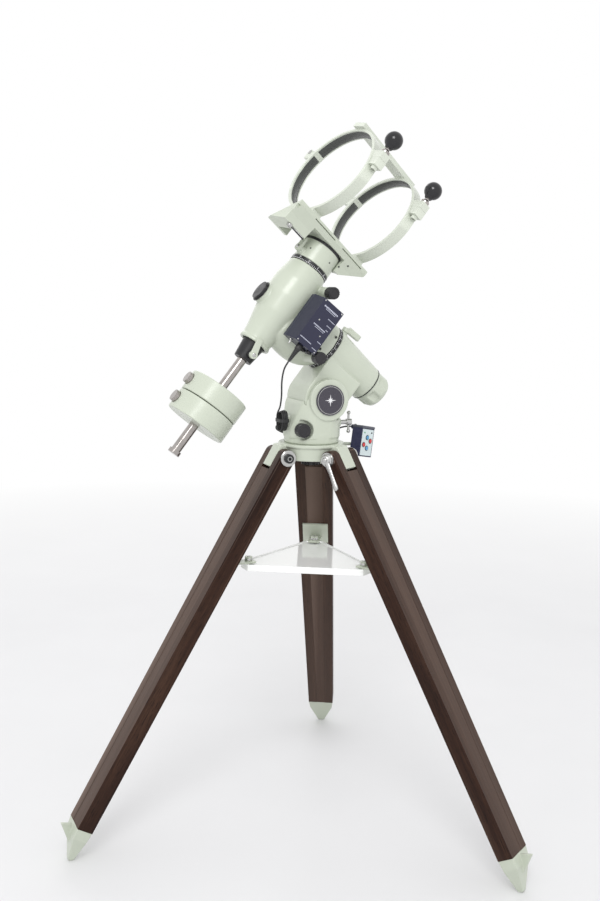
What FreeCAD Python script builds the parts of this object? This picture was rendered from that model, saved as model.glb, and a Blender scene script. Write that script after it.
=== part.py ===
"""Equatorial telescope mount on a wooden tripod, with counterweights, tube rings and hand controller.

Millimetres, +Z up, the origin on the ground under the tripod's axis. North is -X: the polar axis
lies in the plane y = 0 and points up towards -X. The head is drawn in its own frame, with X down
the polar (right ascension) axis, Z up the declination axis and the axes crossing at its origin.
"""
import FreeCAD, Part
import math
import os

V = FreeCAD.Vector
UP = V(0, 0, 1)

# ---- driving dimensions ----
RUN = 0.05                  # radial clearance of anything that turns or slides
GAP = 0.1                   # gap between faces that move past each other
LATITUDE = 38.0             # slope of the polar axis
AXES_CROSS = V(-77, 0, 1117)
TUBE_TURN = 12.0            # how far the tube rings are turned about the declination axis

PIVOT_HEIGHT = 810.0        # tripod leg pivots
PIVOT_RADIUS = 72.0
LEG_TILT = 30.0
LEG_ANGLES = {"north": 180, "west": 300, "east": 60}
LEG_DEPTH = 34.0
LEG_TOP_HALF = 41.7         # half the leg's width at the pivot and at the shoe
LEG_END_HALF = 32.0
BOARD = 22.0                # thickness of a leg's outer boards
WOOD_END = 854.0            # along the leg from the pivot
FOOT_RADIUS = 521.0
LUG_HALF = 18.7
WASHER_FACE = 45.5

TRAY_HEIGHT = 586.0
TRAY_CORNER = 150.0

HUB_TOP = 837.0
HUB_FLOOR = 803.0
HUB_RADIUS = 66.0
BASE_RADIUS = 58.0

FORK_PIVOT = V(12.5, 0, 930)
FORK_INNER = 47.6           # half the slot between the fork's cheeks
CHEEK_RADIUS = 43.5
CHEEK_FACE = 60.0
FOOT_ROUND = 50.0           # the polar housing's foot turns inside the fork on this radius
AZ_KNOB = V(-42, 0, 867.6)
ALT_BOLT_HEIGHT = 876.0

SHAFT = 20.0                # outside radius of both hollow axis shafts
SHAFT_BORE = 12.2
HOUSING_BORE = 27.0
STATOR_START = 136.5        # down the polar axis
STATOR_END = 259.0
STATOR_RADIUS = 49.5
STATOR_TAIL = 38.5
WHEEL_RADIUS = 38.0
WORM_RADIUS = 8.0
RA_WHEEL_AT = 100.0
DEC_WHEEL_AT = 76.0
WORM_CENTRES = WHEEL_RADIUS + WORM_RADIUS + GAP

DEC_TOP = 98.0              # up the declination axis
DEC_BOTTOM = -88.0
HEAD_START = 107.0
HEAD_TOP = 152.0
HEAD_RADIUS = 42.5
DEC_LEVER_TURN = 18.0       # the declination clamp sits this far round from the head's back

SOCKET_TOP = -94.0
SOCKET_END = -133.0
ROD = 10.0
ROD_END = -362.0
WEIGHT_RADIUS = 65.0
WEIGHT_TOP = -210.0
WEIGHT_THICK = 43.2
WEIGHT_GAP = 1.6
KNOB_SEAT = 61.0            # the weights' clamp knobs sit in pockets this deep

PLATE_TOP = 174.0
PLATE_HALF = 50.0
PLATE_ENDS = (-136.0, 90.0)
SADDLE_BOTTOM = 127.0
SIDE_SLOTS = ((-86.0, -19.0), (6.0, 73.0))
TUBE_AXIS = 282.0
RING_INNER = 102.0
RING_OUTER = 108.0
RING_WIDTH = 25.0
RING_PLACES = (-86.0, 60.0)
SPLIT = 322.0               # the rings part in this plane
LUG_PIN = 115.0             # clamp screws and hinge pins lie this far each side of the tube's axis

CABLE = 1.7                 # radius of the hand controller's lead
HANK_TOP = 904.0            # the lead's slack hangs in a hank between these heights
HANK_END = 862.0
PAD = V(124, 4, 832)        # centre of the hand controller
PAD_SIZE = (26.0, 44.0, 66.0)
PAD_YAW = -65.0
PAD_LEAN = -10.0

PAD_GLAND = V(-PAD_SIZE[0] / 2 - 9, -12, 29)

BOX_LOW = -50.0             # the control box, in the head's frame
BOX_HIGH = 53.0
BOX_BACK = -52.0 - GAP
BOX_FRONT = -95.0
BOX_NORTH = 20.0
BOX_FOLD = 32.0
BOX_SOUTH = 84.0
PLUG = V(53, -80, BOX_LOW)
PLUG_LENGTH = 12.0
RELIEF_END = 40.0

WORM_TEETH = 72             # on both worm wheels, each driven by a single-start worm


# ---- frames ----
HEAD_FRAME = FreeCAD.Placement(AXES_CROSS, FreeCAD.Rotation(V(0, 1, 0), LATITUDE))
RING_FRAME = HEAD_FRAME.multiply(FreeCAD.Placement(V(0, 0, 0), FreeCAD.Rotation(UP, TUBE_TURN)))
DEC_LEVER_FRAME = HEAD_FRAME.multiply(FreeCAD.Placement(V(0, 0, 0), FreeCAD.Rotation(UP, DEC_LEVER_TURN)))
PAD_FRAME = FreeCAD.Placement(PAD, FreeCAD.Rotation(PAD_YAW, 0, 0)).multiply(
    FreeCAD.Placement(V(0, 0, 0), FreeCAD.Rotation(V(1, 0, 0), PAD_LEAN)))


def leg_frame(name):
    """A leg's frame: origin at its pivot, -Z down the leg, X out of its outer face."""
    turn = FreeCAD.Placement(V(0, 0, 0), FreeCAD.Rotation(UP, LEG_ANGLES[name]))
    lean = FreeCAD.Placement(V(PIVOT_RADIUS, 0, PIVOT_HEIGHT), FreeCAD.Rotation(V(0, 1, 0), -LEG_TILT))
    return turn.multiply(lean)


def around(name):
    """The upright frame of a leg: X outward from the tripod's axis."""
    return FreeCAD.Placement(V(0, 0, 0), FreeCAD.Rotation(UP, LEG_ANGLES[name]))


def placed(shape, frame):
    moved = shape.copy()
    moved.Placement = frame.multiply(moved.Placement)
    return moved


def write(name, *shapes):
    shape = shapes[0] if len(shapes) == 1 else Part.makeCompound(list(shapes))
    shape.exportStep("parts/%s.step" % name)


# ---- small shapes ----
def rod(start, end, radius):
    return Part.makeCylinder(radius, (end - start).Length, start, end - start)


def ring(start, end, outer, inner):
    return rod(start, end, outer).cut(rod(start, end, inner))


def cone(start, end, first, last):
    return Part.makeCone(first, last, (end - start).Length, start, end - start)


def block(low, high):
    size = high - low
    return Part.makeBox(size.x, size.y, size.z, low)


def joined(first, *others):
    for other in others:
        first = first.fuse(other)
    return first.removeSplitter()


def prism(points, along):
    """The solid swept by a closed outline moved along a vector."""
    outline = Part.makePolygon(list(points) + [points[0]])
    return Part.Face(outline).extrude(along)


def turned(points, axis):
    """A solid of revolution about X or Z from (along, radius) points."""
    if axis == "X":
        profile = [V(a, 0, r) for a, r in points]
        way = V(1, 0, 0)
    else:
        profile = [V(r, 0, a) for a, r in points]
        way = UP
    return Part.Face(Part.makePolygon(profile + [profile[0]])).revolve(V(0, 0, 0), way, 360)


def rounded(shape, radius, wanted):
    """Fillet the edges that the test picks."""
    return shape.makeFillet(radius, [edge for edge in shape.Edges if wanted(edge)])


def scalloped(start, end, radius, count, bite):
    """A hand knob: a cylinder with flutes cut round its rim."""
    knob = rod(start, end, radius)
    way = end - start
    side = way.cross(UP if abs(way.z) < 0.9 * way.Length else V(1, 0, 0)).normalize()
    across = way.cross(side).normalize()
    for index in range(count):
        angle = 2 * math.pi * index / count
        centre = start + (side * math.cos(angle) + across * math.sin(angle)) * (radius + bite * 0.6)
        knob = knob.cut(rod(centre - way * 0.1, centre + way * 1.1, bite))
    return knob


# ---- tripod ----
def tripod_hub():
    body = joined(
        rod(V(0, 0, HUB_FLOOR), V(0, 0, HUB_TOP), HUB_RADIUS),
        rod(V(0, 0, HUB_TOP - 7), V(0, 0, HUB_TOP), HUB_RADIUS + 4),
    )
    for name in LEG_ANGLES:
        pocket = rod(V(PIVOT_RADIUS, -60, PIVOT_HEIGHT), V(PIVOT_RADIUS, 60, PIVOT_HEIGHT), 18.5)
        below = block(V(PIVOT_RADIUS - 18.5, -60, HUB_FLOOR - 5), V(PIVOT_RADIUS + 40, 60, PIVOT_HEIGHT))
        body = body.cut(placed(joined(pocket, below), around(name)))
    for name in LEG_ANGLES:
        side = [(40, 835), (78.5, 835), (103, 792), (76, 776), (58, 794), (40, 803)]
        lug = prism([V(x, -LUG_HALF, z) for x, z in side], V(0, 2 * LUG_HALF, 0))
        body = body.fuse(placed(lug, around(name)))
    for name in LEG_ANGLES:
        hole = rod(V(PIVOT_RADIUS, -30, PIVOT_HEIGHT), V(PIVOT_RADIUS, 30, PIVOT_HEIGHT), 5.0)
        body = body.cut(placed(hole, around(name)))
    body = body.cut(rod(V(0, 0, 790), V(0, 0, 850), 8 + RUN))
    behind = -PAD_SIZE[0] / 2 - GAP
    plate = placed(block(V(behind - 3, -8, -20), V(behind, 14, 12)), PAD_FRAME)
    arm = rod(V(60, 18, 827), PAD_FRAME.multVec(V(behind - 5.5, -3, -8)), 4)
    return joined(body, plate, arm)


def pivot_bolt(name):
    shank = rod(V(0, -WASHER_FACE - 9, 0), V(0, WASHER_FACE, 0), 5.0)
    washer = rod(V(0, LEG_TOP_HALF + GAP, 0), V(0, WASHER_FACE, 0), 15.7)
    head = rod(V(0, WASHER_FACE, 0), V(0, WASHER_FACE + 7, 0), 8.5)
    socket = prism([V(4.2 * math.cos(k * math.pi / 3), WASHER_FACE + 3, 4.2 * math.sin(k * math.pi / 3))
                    for k in range(6)], V(0, 5, 0))
    disc = rod(V(0, -WASHER_FACE, 0), V(0, -LEG_TOP_HALF - GAP, 0), 15.0)
    return placed(joined(shank, washer, head, disc).cut(socket), leg_frame(name))


def leg_boards(name):
    """Two outer boards with rounded tops and a centre board between them, below the hub's lug."""
    half = LEG_DEPTH / 2
    top_in = LEG_TOP_HALF - BOARD
    end_in = LEG_END_HALF - BOARD
    slope = (LEG_TOP_HALF - LEG_END_HALF) / WOOD_END
    boards = []
    for side in (-1, 1):
        outline = [V(-half, side * top_in, 0),
                   V(-half, side * LEG_TOP_HALF, 0),
                   V(-half, side * LEG_END_HALF, -WOOD_END),
                   V(-half, side * end_in, -WOOD_END)]
        board = prism(outline, V(LEG_DEPTH, 0, 0))
        crown = rod(V(0, side * top_in, 0), V(0, side * LEG_TOP_HALF, 0), half)
        board = joined(board, crown)
        boards.append(board.cut(rod(V(0, -60, 0), V(0, 60, 0), 5 + RUN)))
    start = 37.0
    back = -half + 0.4
    at_start = LEG_TOP_HALF - slope * start - BOARD - GAP
    outline = [V(back, -at_start, -start), V(back, at_start, -start),
               V(back, end_in - GAP, -WOOD_END), V(back, -end_in + GAP, -WOOD_END)]
    boards.append(prism(outline, V(-2 * back, 0, 0)))
    return [placed(board, leg_frame(name)) for board in boards]


def leg_shoe(name):
    """A cast shoe under the wood, tapering to the foot, with a step for treading it in."""
    frame = leg_frame(name)
    half = LEG_DEPTH / 2
    levels = [(WOOD_END + GAP, half, LEG_END_HALF, 0), (WOOD_END + 22, half - 1, LEG_END_HALF - 3, -1),
              (WOOD_END + 74, 5.5, 6.5, -14)]
    wires = []
    for down, across, wide, shift in levels:
        corners = [V(shift - across, -wide, -down), V(shift + across, -wide, -down),
                   V(shift + across, wide, -down), V(shift - across, wide, -down)]
        wires.append(Part.makePolygon(corners + [corners[0]]))
    body = placed(Part.makeLoft(wires, True, True), frame)
    step = placed(prism([V(half - 2, -3.5, -WOOD_END - 2), V(half + 26, -3.5, -WOOD_END - 10),
                         V(half - 8, -3.5, -WOOD_END - 40)], V(0, 7, 0)), frame)
    spike = placed(cone(V(FOOT_RADIUS, 0, 0), V(FOOT_RADIUS - 3, 0, 20), 3.5, 7), around(name))
    ground = block(V(-700, -700, -30), V(700, 700, 0))
    return joined(body, step, spike).cut(ground)


def leg_bracket(name):
    """A plate on the leg's inner face with a tongue over the tray's corner and a thumbscrew."""
    frame = leg_frame(name)
    along = (PIVOT_HEIGHT - TRAY_HEIGHT) / math.cos(math.radians(LEG_TILT))
    inner = -LEG_DEPTH / 2 - GAP
    plate = placed(block(V(inner - 4, -29, -along - 2), V(inner, 29, -along + 54)), frame)
    tongue = placed(block(V(128, -13, TRAY_HEIGHT + GAP), V(181, 13, TRAY_HEIGHT + 4)), around(name))
    screw = placed(rod(V(140, 0, TRAY_HEIGHT + 4), V(140, 0, TRAY_HEIGHT + 13), 8), around(name))
    keep = placed(block(V(inner - 80, -40, -along - 60), V(inner, 40, -along + 80)), frame)
    return joined(plate, tongue.common(keep), screw)


def clamp_lever(name):
    """The ratchet lever on a leg pivot, lying along the leg."""
    face = -WASHER_FACE - GAP
    hub = rod(V(0, face - 9, 0), V(0, face, 0), 10.5)
    arm = prism([V(-5, face - 8, -6), V(5, face - 8, -6), V(3.4, face - 8, -58), V(-3.4, face - 8, -58)],
                V(0, 6, 0))
    end = Part.makeSphere(5, V(0, face - 5.5, -60))
    lever = joined(hub, arm, end).cut(rod(V(0, face - 20, 0), V(0, face + 5, 0), 5 + RUN))
    return placed(lever, leg_frame(name))


def tray():
    """A three-sided accessory tray with a rolled rim."""
    def outline(corner, z):
        points = []
        for angle in LEG_ANGLES.values():
            turn = math.radians(angle)
            out = V(math.cos(turn), math.sin(turn), 0)
            side = V(-math.sin(turn), math.cos(turn), 0)
            points.append((angle, out * corner - side * 18 + V(0, 0, z), out * corner + side * 18 + V(0, 0, z)))
        points.sort(key=lambda item: item[0])
        return [point for item in points for point in item[1:]]
    rim = prism(outline(TRAY_CORNER, TRAY_HEIGHT - 14), V(0, 0, 14))
    upper = prism(outline(TRAY_CORNER - 7, TRAY_HEIGHT - 2.5), V(0, 0, 5))
    lower = prism(outline(TRAY_CORNER - 7, TRAY_HEIGHT - 20), V(0, 0, 14))
    return rim.cut(upper).cut(lower)


def base_bolt():
    """The central bolt that holds the head down, with its hand knob under the hub."""
    knob = scalloped(V(0, 0, 789), V(0, 0, HUB_FLOOR - GAP), 20, 8, 5)
    return joined(knob, rod(V(0, 0, HUB_FLOOR - 1), V(0, 0, HUB_TOP + 14), 8))


# ---- azimuth base and fork ----
def base_casting():
    pivot = FORK_PIVOT
    side = [(-58, 850), (-57, 870), (-52, 893), (-44, 920), (-38, 930), (pivot.x, 950),
            (54, 930), (51, 905), (53, 885), (57, 870), (58, 850)]
    upper = prism([V(x, -57, z) for x, z in side], V(0, 114, 0))
    upper = upper.common(rod(V(0, 0, 850), V(0, 0, 990), BASE_RADIUS + 2))
    cheeks = rod(V(pivot.x, -CHEEK_FACE, pivot.z), V(pivot.x, CHEEK_FACE, pivot.z), CHEEK_RADIUS)
    body = joined(rod(V(0, 0, HUB_TOP + RUN), V(0, 0, 858), BASE_RADIUS), upper, cheeks)
    turn = rod(V(pivot.x, -FORK_INNER, pivot.z), V(pivot.x, FORK_INNER, pivot.z), FOOT_ROUND + 0.6)
    above = block(V(-90, -FORK_INNER, pivot.z), V(90, FORK_INNER, 1000))
    tail = block(V(-20, -11, 862), V(45, 11, 900))
    body = body.cut(turn).cut(above).cut(tail)
    boss = rod(V(44, 0, ALT_BOLT_HEIGHT), V(66, 0, ALT_BOLT_HEIGHT), 10)
    body = body.fuse(boss)
    body = body.cut(rod(V(20, 0, ALT_BOLT_HEIGHT), V(80, 0, ALT_BOLT_HEIGHT), 5 + RUN))
    body = body.cut(rod(V(pivot.x, -80, pivot.z), V(pivot.x, 80, pivot.z), 15 + RUN))
    for way in (-1, 1):
        body = body.cut(rod(V(AZ_KNOB.x, way * 37, AZ_KNOB.z), V(AZ_KNOB.x, way * 80, AZ_KNOB.z), 21))
        body = body.cut(rod(V(AZ_KNOB.x, way * 16, AZ_KNOB.z), V(AZ_KNOB.x, way * 40, AZ_KNOB.z), 5 + RUN))
    clip = block(V(-59 + GAP, -5, 880), V(-46, 5, 892))
    body = body.fuse(clip).cut(rod(V(0, 0, 830), V(0, 0, HUB_TOP + 14.5), 8 + RUN))
    return body.removeSplitter()


def badge_plates():
    plates = []
    for way in (-1, 1):
        disc = rod(V(FORK_PIVOT.x, way * (CHEEK_FACE + GAP), FORK_PIVOT.z),
                   V(FORK_PIVOT.x, way * (CHEEK_FACE + 2.6), FORK_PIVOT.z), 31.5)
        groove = ring(V(FORK_PIVOT.x, way * (CHEEK_FACE + 1.9), FORK_PIVOT.z),
                      V(FORK_PIVOT.x, way * (CHEEK_FACE + 4), FORK_PIVOT.z), 29.0, 27.6)
        plates.append(disc.cut(groove))
    return plates


def azimuth_knob(way):
    face = way * (37 + GAP)
    knob = scalloped(V(AZ_KNOB.x, face, AZ_KNOB.z), V(AZ_KNOB.x, face + way * 19, AZ_KNOB.z), 14.5, 18, 1.6)
    stem = rod(V(AZ_KNOB.x, way * 18, AZ_KNOB.z), V(AZ_KNOB.x, face + way, AZ_KNOB.z), 5)
    return joined(knob, stem)


def altitude_bolt():
    """A bolt that bears on the polar housing's tail, with a sliding cross bar to turn it."""
    z = ALT_BOLT_HEIGHT
    tip = V(22.8 + 5, 0, z)
    shank = rod(tip, V(92, 0, z), 5).fuse(Part.makeSphere(5, tip))
    hub = rod(V(82, 0, z), V(93, 0, z), 7)
    bar = rod(V(87.5, 0, z - 20), V(87.5, 0, z + 20), 2.6)
    ends = [Part.makeSphere(4.2, V(87.5, 0, z + way * 20)) for way in (-1, 1)]
    return joined(shank, hub, bar, *ends)


# ---- polar housing ----
def polar_housing():
    start, end = STATOR_START, STATOR_END
    outer = turned([(start, 0), (start, STATOR_RADIUS), (start + 10, STATOR_RADIUS), (end, STATOR_TAIL),
                    (end, 0)], "X")
    outer = outer.fuse(rod(V(127.3, 0, 0), V(start + 1, 0, 0), 40 - RUN))
    body = placed(outer, HEAD_FRAME)
    pivot = HEAD_FRAME.inverse().multVec(FORK_PIVOT)
    half = FORK_INNER - GAP
    north = pivot.x - FOOT_ROUND
    web = prism([V(north, -half, pivot.z), V(north, -half, -20), V(pivot.x + 42, -half, -20),
                 V(pivot.x + 42, -half, pivot.z)], V(0, 2 * half, 0))
    heel = rod(V(pivot.x, -half, pivot.z), V(pivot.x, half, pivot.z), FOOT_ROUND)
    heel = heel.common(block(V(north - 5, -60, pivot.z - 60), V(pivot.x - 12, 60, pivot.z + 10)))
    ball = rod(V(pivot.x, -half, pivot.z), V(pivot.x, half, pivot.z), 42)
    pins = rod(V(pivot.x, -56, pivot.z), V(pivot.x, 56, pivot.z), 15)
    foot = placed(joined(web, heel, ball, pins), HEAD_FRAME)
    tail = block(V(5, -10, 867), V(22.5, 10, 900))
    body = joined(body, foot, tail)
    bore = placed(rod(V(120, 0, 0), V(end + 5, 0, 0), HOUSING_BORE), HEAD_FRAME)
    pad = placed(rod(V(148, 0, 40), V(148, 0, 53), 9), HEAD_FRAME)
    body = body.fuse(pad).cut(bore)
    return body.cut(placed(rod(V(148, 0, 45), V(148, 0, 60), 4 + RUN), HEAD_FRAME)).removeSplitter()


def bearings(places, axis):
    """Bearing rings between a housing bore and its hollow shaft."""
    rings = []
    for low in places:
        start, end = (V(low, 0, 0), V(low + 12, 0, 0)) if axis == "X" else (V(0, 0, low), V(0, 0, low + 12))
        rings.append(placed(ring(start, end, HOUSING_BORE, SHAFT + RUN), HEAD_FRAME))
    return rings


def polar_cap():
    """The lobed cap over the lower end of the polar axis."""
    start = STATOR_END + GAP
    skirt = turned([(start, 0), (start, 36.5), (start + 30, 36), (start + 38, 31), (start + 42, 22),
                    (start + 42, 0)], "X")
    for index in range(6):
        angle = 2 * math.pi * (index + 0.5) / 6
        centre = V(start + 8, 50 * math.cos(angle), 50 * math.sin(angle))
        skirt = skirt.cut(rod(centre, centre + V(60, 0, 0), 18.5))
    plug = ring(V(start - 14, 0, 0), V(start + 1, 0, 0), HOUSING_BORE - RUN, HOUSING_BORE - 4)
    return placed(joined(skirt, plug), HEAD_FRAME)


def setting_circle(start, end, outer, inner, axis):
    if axis == "X":
        return placed(ring(V(start, 0, 0), V(end, 0, 0), outer, inner), HEAD_FRAME)
    return placed(ring(V(0, 0, start), V(0, 0, end), outer, inner), HEAD_FRAME)


def small_lever(origin, axis, arm, length, stem, half=5.5, thick=6):
    """A cast clamp lever: a round boss with a stem into the housing and a flat, square-ended arm."""
    axis = V(axis).normalize()
    arm = V(arm).normalize()
    side = axis.cross(arm)
    boss = rod(origin, origin + axis * 9, 8)
    root = origin + axis * 2.5 + arm * 3
    tip = origin + axis * 2.5 + arm * length
    end = tip + arm * 3
    blade = prism([root - side * 7, root + side * 7, tip + side * half, end + side * (half - 2),
                   end - side * (half - 2), tip - side * half], axis * thick)
    return joined(boss, blade, rod(origin - axis * stem, origin + axis, 4))


def ra_clamp_lever():
    return placed(small_lever(V(148, 0, 53 + GAP), UP, V(1, -0.12, 0), 33, 7.5, 6.0, 12), HEAD_FRAME)


# ---- right ascension axis ----
def ra_shaft():
    tube = ring(V(44, 0, 0), V(STATOR_END - 16, 0, 0), SHAFT, SHAFT_BORE)
    return placed(tube, HEAD_FRAME)


def wheel(at, axis):
    """A worm wheel: a rim with a throat for the worm, and a hub free on the shaft."""
    throat = 2.0
    rim = [(at - 5, SHAFT + RUN), (at - 5, WHEEL_RADIUS), (at - 3, WHEEL_RADIUS), (at, WHEEL_RADIUS - throat),
           (at + 3, WHEEL_RADIUS), (at + 5, WHEEL_RADIUS), (at + 5, SHAFT + RUN)]
    blank = turned(rim, axis)
    notches = []
    for index in range(WORM_TEETH):
        angle = 2 * math.pi * index / WORM_TEETH
        if axis == "X":
            out, along = V(0, math.cos(angle), math.sin(angle)), V(1, 0, 0)
        else:
            out, along = V(math.cos(angle), math.sin(angle), 0), UP
        side = along.cross(out)
        foot = out * (WHEEL_RADIUS - throat - 1.6) + along * (at - 6)
        lip = out * (WHEEL_RADIUS + 1) + along * (at - 6)
        notches.append(prism([foot, lip + side, lip - side], along * 12))
    return placed(blank.cut(Part.makeCompound(notches)), HEAD_FRAME)


def worm_knob(x, z, face):
    """A worm on its shaft, with the black fluted knob outside the housing."""
    knob = scalloped(V(x, face, z), V(x, face - 21, z), 12.5, 20, 1.3)
    shank = rod(V(x, face - 1, z), V(x, 26, z), 5)
    thread = rod(V(x, -12, z), V(x, 12, z), WORM_RADIUS)
    return placed(joined(knob, shank, thread), HEAD_FRAME)


def worm_room(x, z, face):
    """The room a worm and its shaft turn in."""
    return joined(rod(V(x, face - 5, z), V(x, 28, z), 5 + RUN), rod(V(x, -13, z), V(x, 13, z), WORM_RADIUS + 0.5))


def oval(x, z, tall, wide):
    """An outline across the polar axis: an upright ellipse, or a circle when both sizes agree."""
    centre = V(x, 0, z)
    if tall == wide:
        edge = Part.Circle(centre, V(1, 0, 0), tall)
    else:
        edge = Part.Ellipse(centre + V(0, 0, tall), centre + V(0, wide, 0), centre)
    return Part.Wire(edge.toShape())


def dec_housing():
    """The casting that carries the declination axis across the end of the polar axis."""
    barrel = turned([(DEC_BOTTOM - 6, 0), (DEC_BOTTOM - 6, 34), (DEC_BOTTOM, 34.5), (DEC_BOTTOM + 2, 32),
                     (-60, 36), (-20, 45), (20, 50), (58, 49), (DEC_TOP, HEAD_RADIUS), (DEC_TOP, 36 - RUN),
                     (HEAD_START - GAP, 36 - RUN), (HEAD_START - GAP, 0)], "Z")
    ovals = [oval(18, -26, 46, 42), oval(75, -17, 58, 48), oval(110, -7, 57, 50), oval(127, 0, 50, 50)]
    neck = Part.makeLoft(ovals, True, False)
    pad = block(V(28, -52, -36), V(76, -30, 44))
    window = rod(V(-53, 0, 0), V(-30, 0, 0), 22)
    dec_boss = rod(V(WORM_CENTRES, -60, DEC_WHEEL_AT), V(WORM_CENTRES, 30, DEC_WHEEL_AT), 12.5)
    ra_boss = rod(V(RA_WHEEL_AT, -74, -WORM_CENTRES), V(RA_WHEEL_AT, 30, -WORM_CENTRES), 12.5)
    body = joined(barrel, neck, pad, window, dec_boss, ra_boss)
    bores = [
        rod(V(0, 0, -140), V(0, 0, 130), HOUSING_BORE),
        rod(V(0, 0, 0), V(140, 0, 0), SHAFT),
        rod(V(-60, 0, 0), V(0, 0, 0), 15),
        rod(V(0, 0, DEC_WHEEL_AT - 6), V(0, 0, DEC_WHEEL_AT + 6), WHEEL_RADIUS + 1),
        rod(V(RA_WHEEL_AT - 6, 0, 0), V(RA_WHEEL_AT + 6, 0, 0), WHEEL_RADIUS + 1),
        worm_room(WORM_CENTRES, DEC_WHEEL_AT, -60),
        worm_room(RA_WHEEL_AT, -WORM_CENTRES, -74),
    ]
    for bore in bores:
        body = body.cut(bore)
    return placed(body.removeSplitter(), HEAD_FRAME)


def window_cap():
    cap = joined(rod(V(-59, 0, 0), V(-53 - GAP, 0, 0), 20.5), rod(V(-54, 0, 0), V(-44, 0, 0), 15 - RUN))
    return placed(cap, HEAD_FRAME)


def control_box():
    """The drive's control box, one long edge folded back towards the housing."""
    corners = [(BOX_NORTH, BOX_BACK), (BOX_SOUTH, BOX_BACK), (BOX_SOUTH, BOX_FRONT),
               (BOX_FOLD, BOX_FRONT), (BOX_NORTH, BOX_BACK - 12)]
    case = prism([V(x, y, BOX_LOW) for x, y in corners], V(0, 0, BOX_HIGH - BOX_LOW))
    sockets = [(66, -68, 6), (75, -84, 4.5)]
    for x, y, radius in sockets:
        case = case.cut(rod(V(x, y, BOX_LOW - 1), V(x, y, BOX_LOW + 6), radius))
    return placed(case, HEAD_FRAME)


def box_plug():
    shell = rod(PLUG - UP * GAP, PLUG - UP * PLUG_LENGTH, 6.8)
    relief = cone(PLUG - UP * PLUG_LENGTH, PLUG - UP * RELIEF_END, 5.5, 3.2)
    return placed(joined(shell, relief), HEAD_FRAME)


# ---- declination axis ----
def dec_shaft():
    return placed(ring(V(0, 0, -86), V(0, 0, HEAD_START + 20), SHAFT, SHAFT_BORE), HEAD_FRAME)


def dec_head():
    head = rod(V(0, 0, HEAD_START), V(0, 0, HEAD_TOP), HEAD_RADIUS)
    collar = rod(V(0, 0, HEAD_TOP), V(0, 0, HEAD_TOP + 3), HEAD_RADIUS - 2)
    pad = rod(V(-48, 0, 117), V(-36, 0, 117), 9)
    head = joined(head, collar, pad)
    head = head.cut(rod(V(0, 0, HEAD_START - 1), V(0, 0, HEAD_START + 20), SHAFT))
    return placed(head.cut(rod(V(-60, 0, 117), V(-40, 0, 117), 4 + RUN)), DEC_LEVER_FRAME)


def dec_clamp_lever():
    return placed(small_lever(V(-48 - GAP, 0, 117), V(-1, 0, 0), V(0, -0.1, 1), 22, 7.5, 6.2), DEC_LEVER_FRAME)


def weight_socket():
    body = joined(
        cone(V(0, 0, SOCKET_TOP - GAP), V(0, 0, SOCKET_END), 24.5, 19.5),
        rod(V(0, -33, -119), V(0, -8, -119), 8),
    )
    spigot = rod(V(0, 0, SOCKET_TOP - 1), V(0, 0, DEC_BOTTOM + 1), HOUSING_BORE - 3)
    body = joined(body, spigot).cut(rod(V(0, 0, -140), V(0, 0, -80), ROD + RUN))
    return placed(body.cut(rod(V(0, -35, -119), V(0, -19, -119), 4 + RUN)), HEAD_FRAME)


def socket_lever():
    return placed(small_lever(V(0, -33 - GAP, -119), V(0, -1, 0), V(-0.25, 0, 1), 31, 13), HEAD_FRAME)


def weight_shaft():
    body = joined(rod(V(0, 0, ROD_END), V(0, 0, -60), ROD), rod(V(0, 0, ROD_END - 9), V(0, 0, ROD_END), 13))
    return placed(body, HEAD_FRAME)


def weight(top):
    body = rod(V(0, 0, top - WEIGHT_THICK), V(0, 0, top), WEIGHT_RADIUS)
    body = rounded(body, 2.5, lambda edge: edge.Length > 300 and abs(edge.BoundBox.ZLength) < 1)
    middle = top - WEIGHT_THICK / 2
    body = body.cut(rod(V(0, 0, top - 60), V(0, 0, top + 10), ROD + RUN))
    body = body.cut(rod(V(-80, 0, middle), V(-KNOB_SEAT, 0, middle), 13))
    return placed(body.cut(rod(V(-80, 0, middle), V(-ROD - 4, 0, middle), 4 + RUN)), HEAD_FRAME)


def weight_knob(top):
    middle = top - WEIGHT_THICK / 2
    knob = scalloped(V(-KNOB_SEAT - GAP, 0, middle), V(-KNOB_SEAT - 12, 0, middle), 12, 20, 1.2)
    stem = rod(V(-KNOB_SEAT - 1, 0, middle), V(-ROD - 6, 0, middle), 4)
    return placed(joined(knob, stem), HEAD_FRAME)


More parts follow.
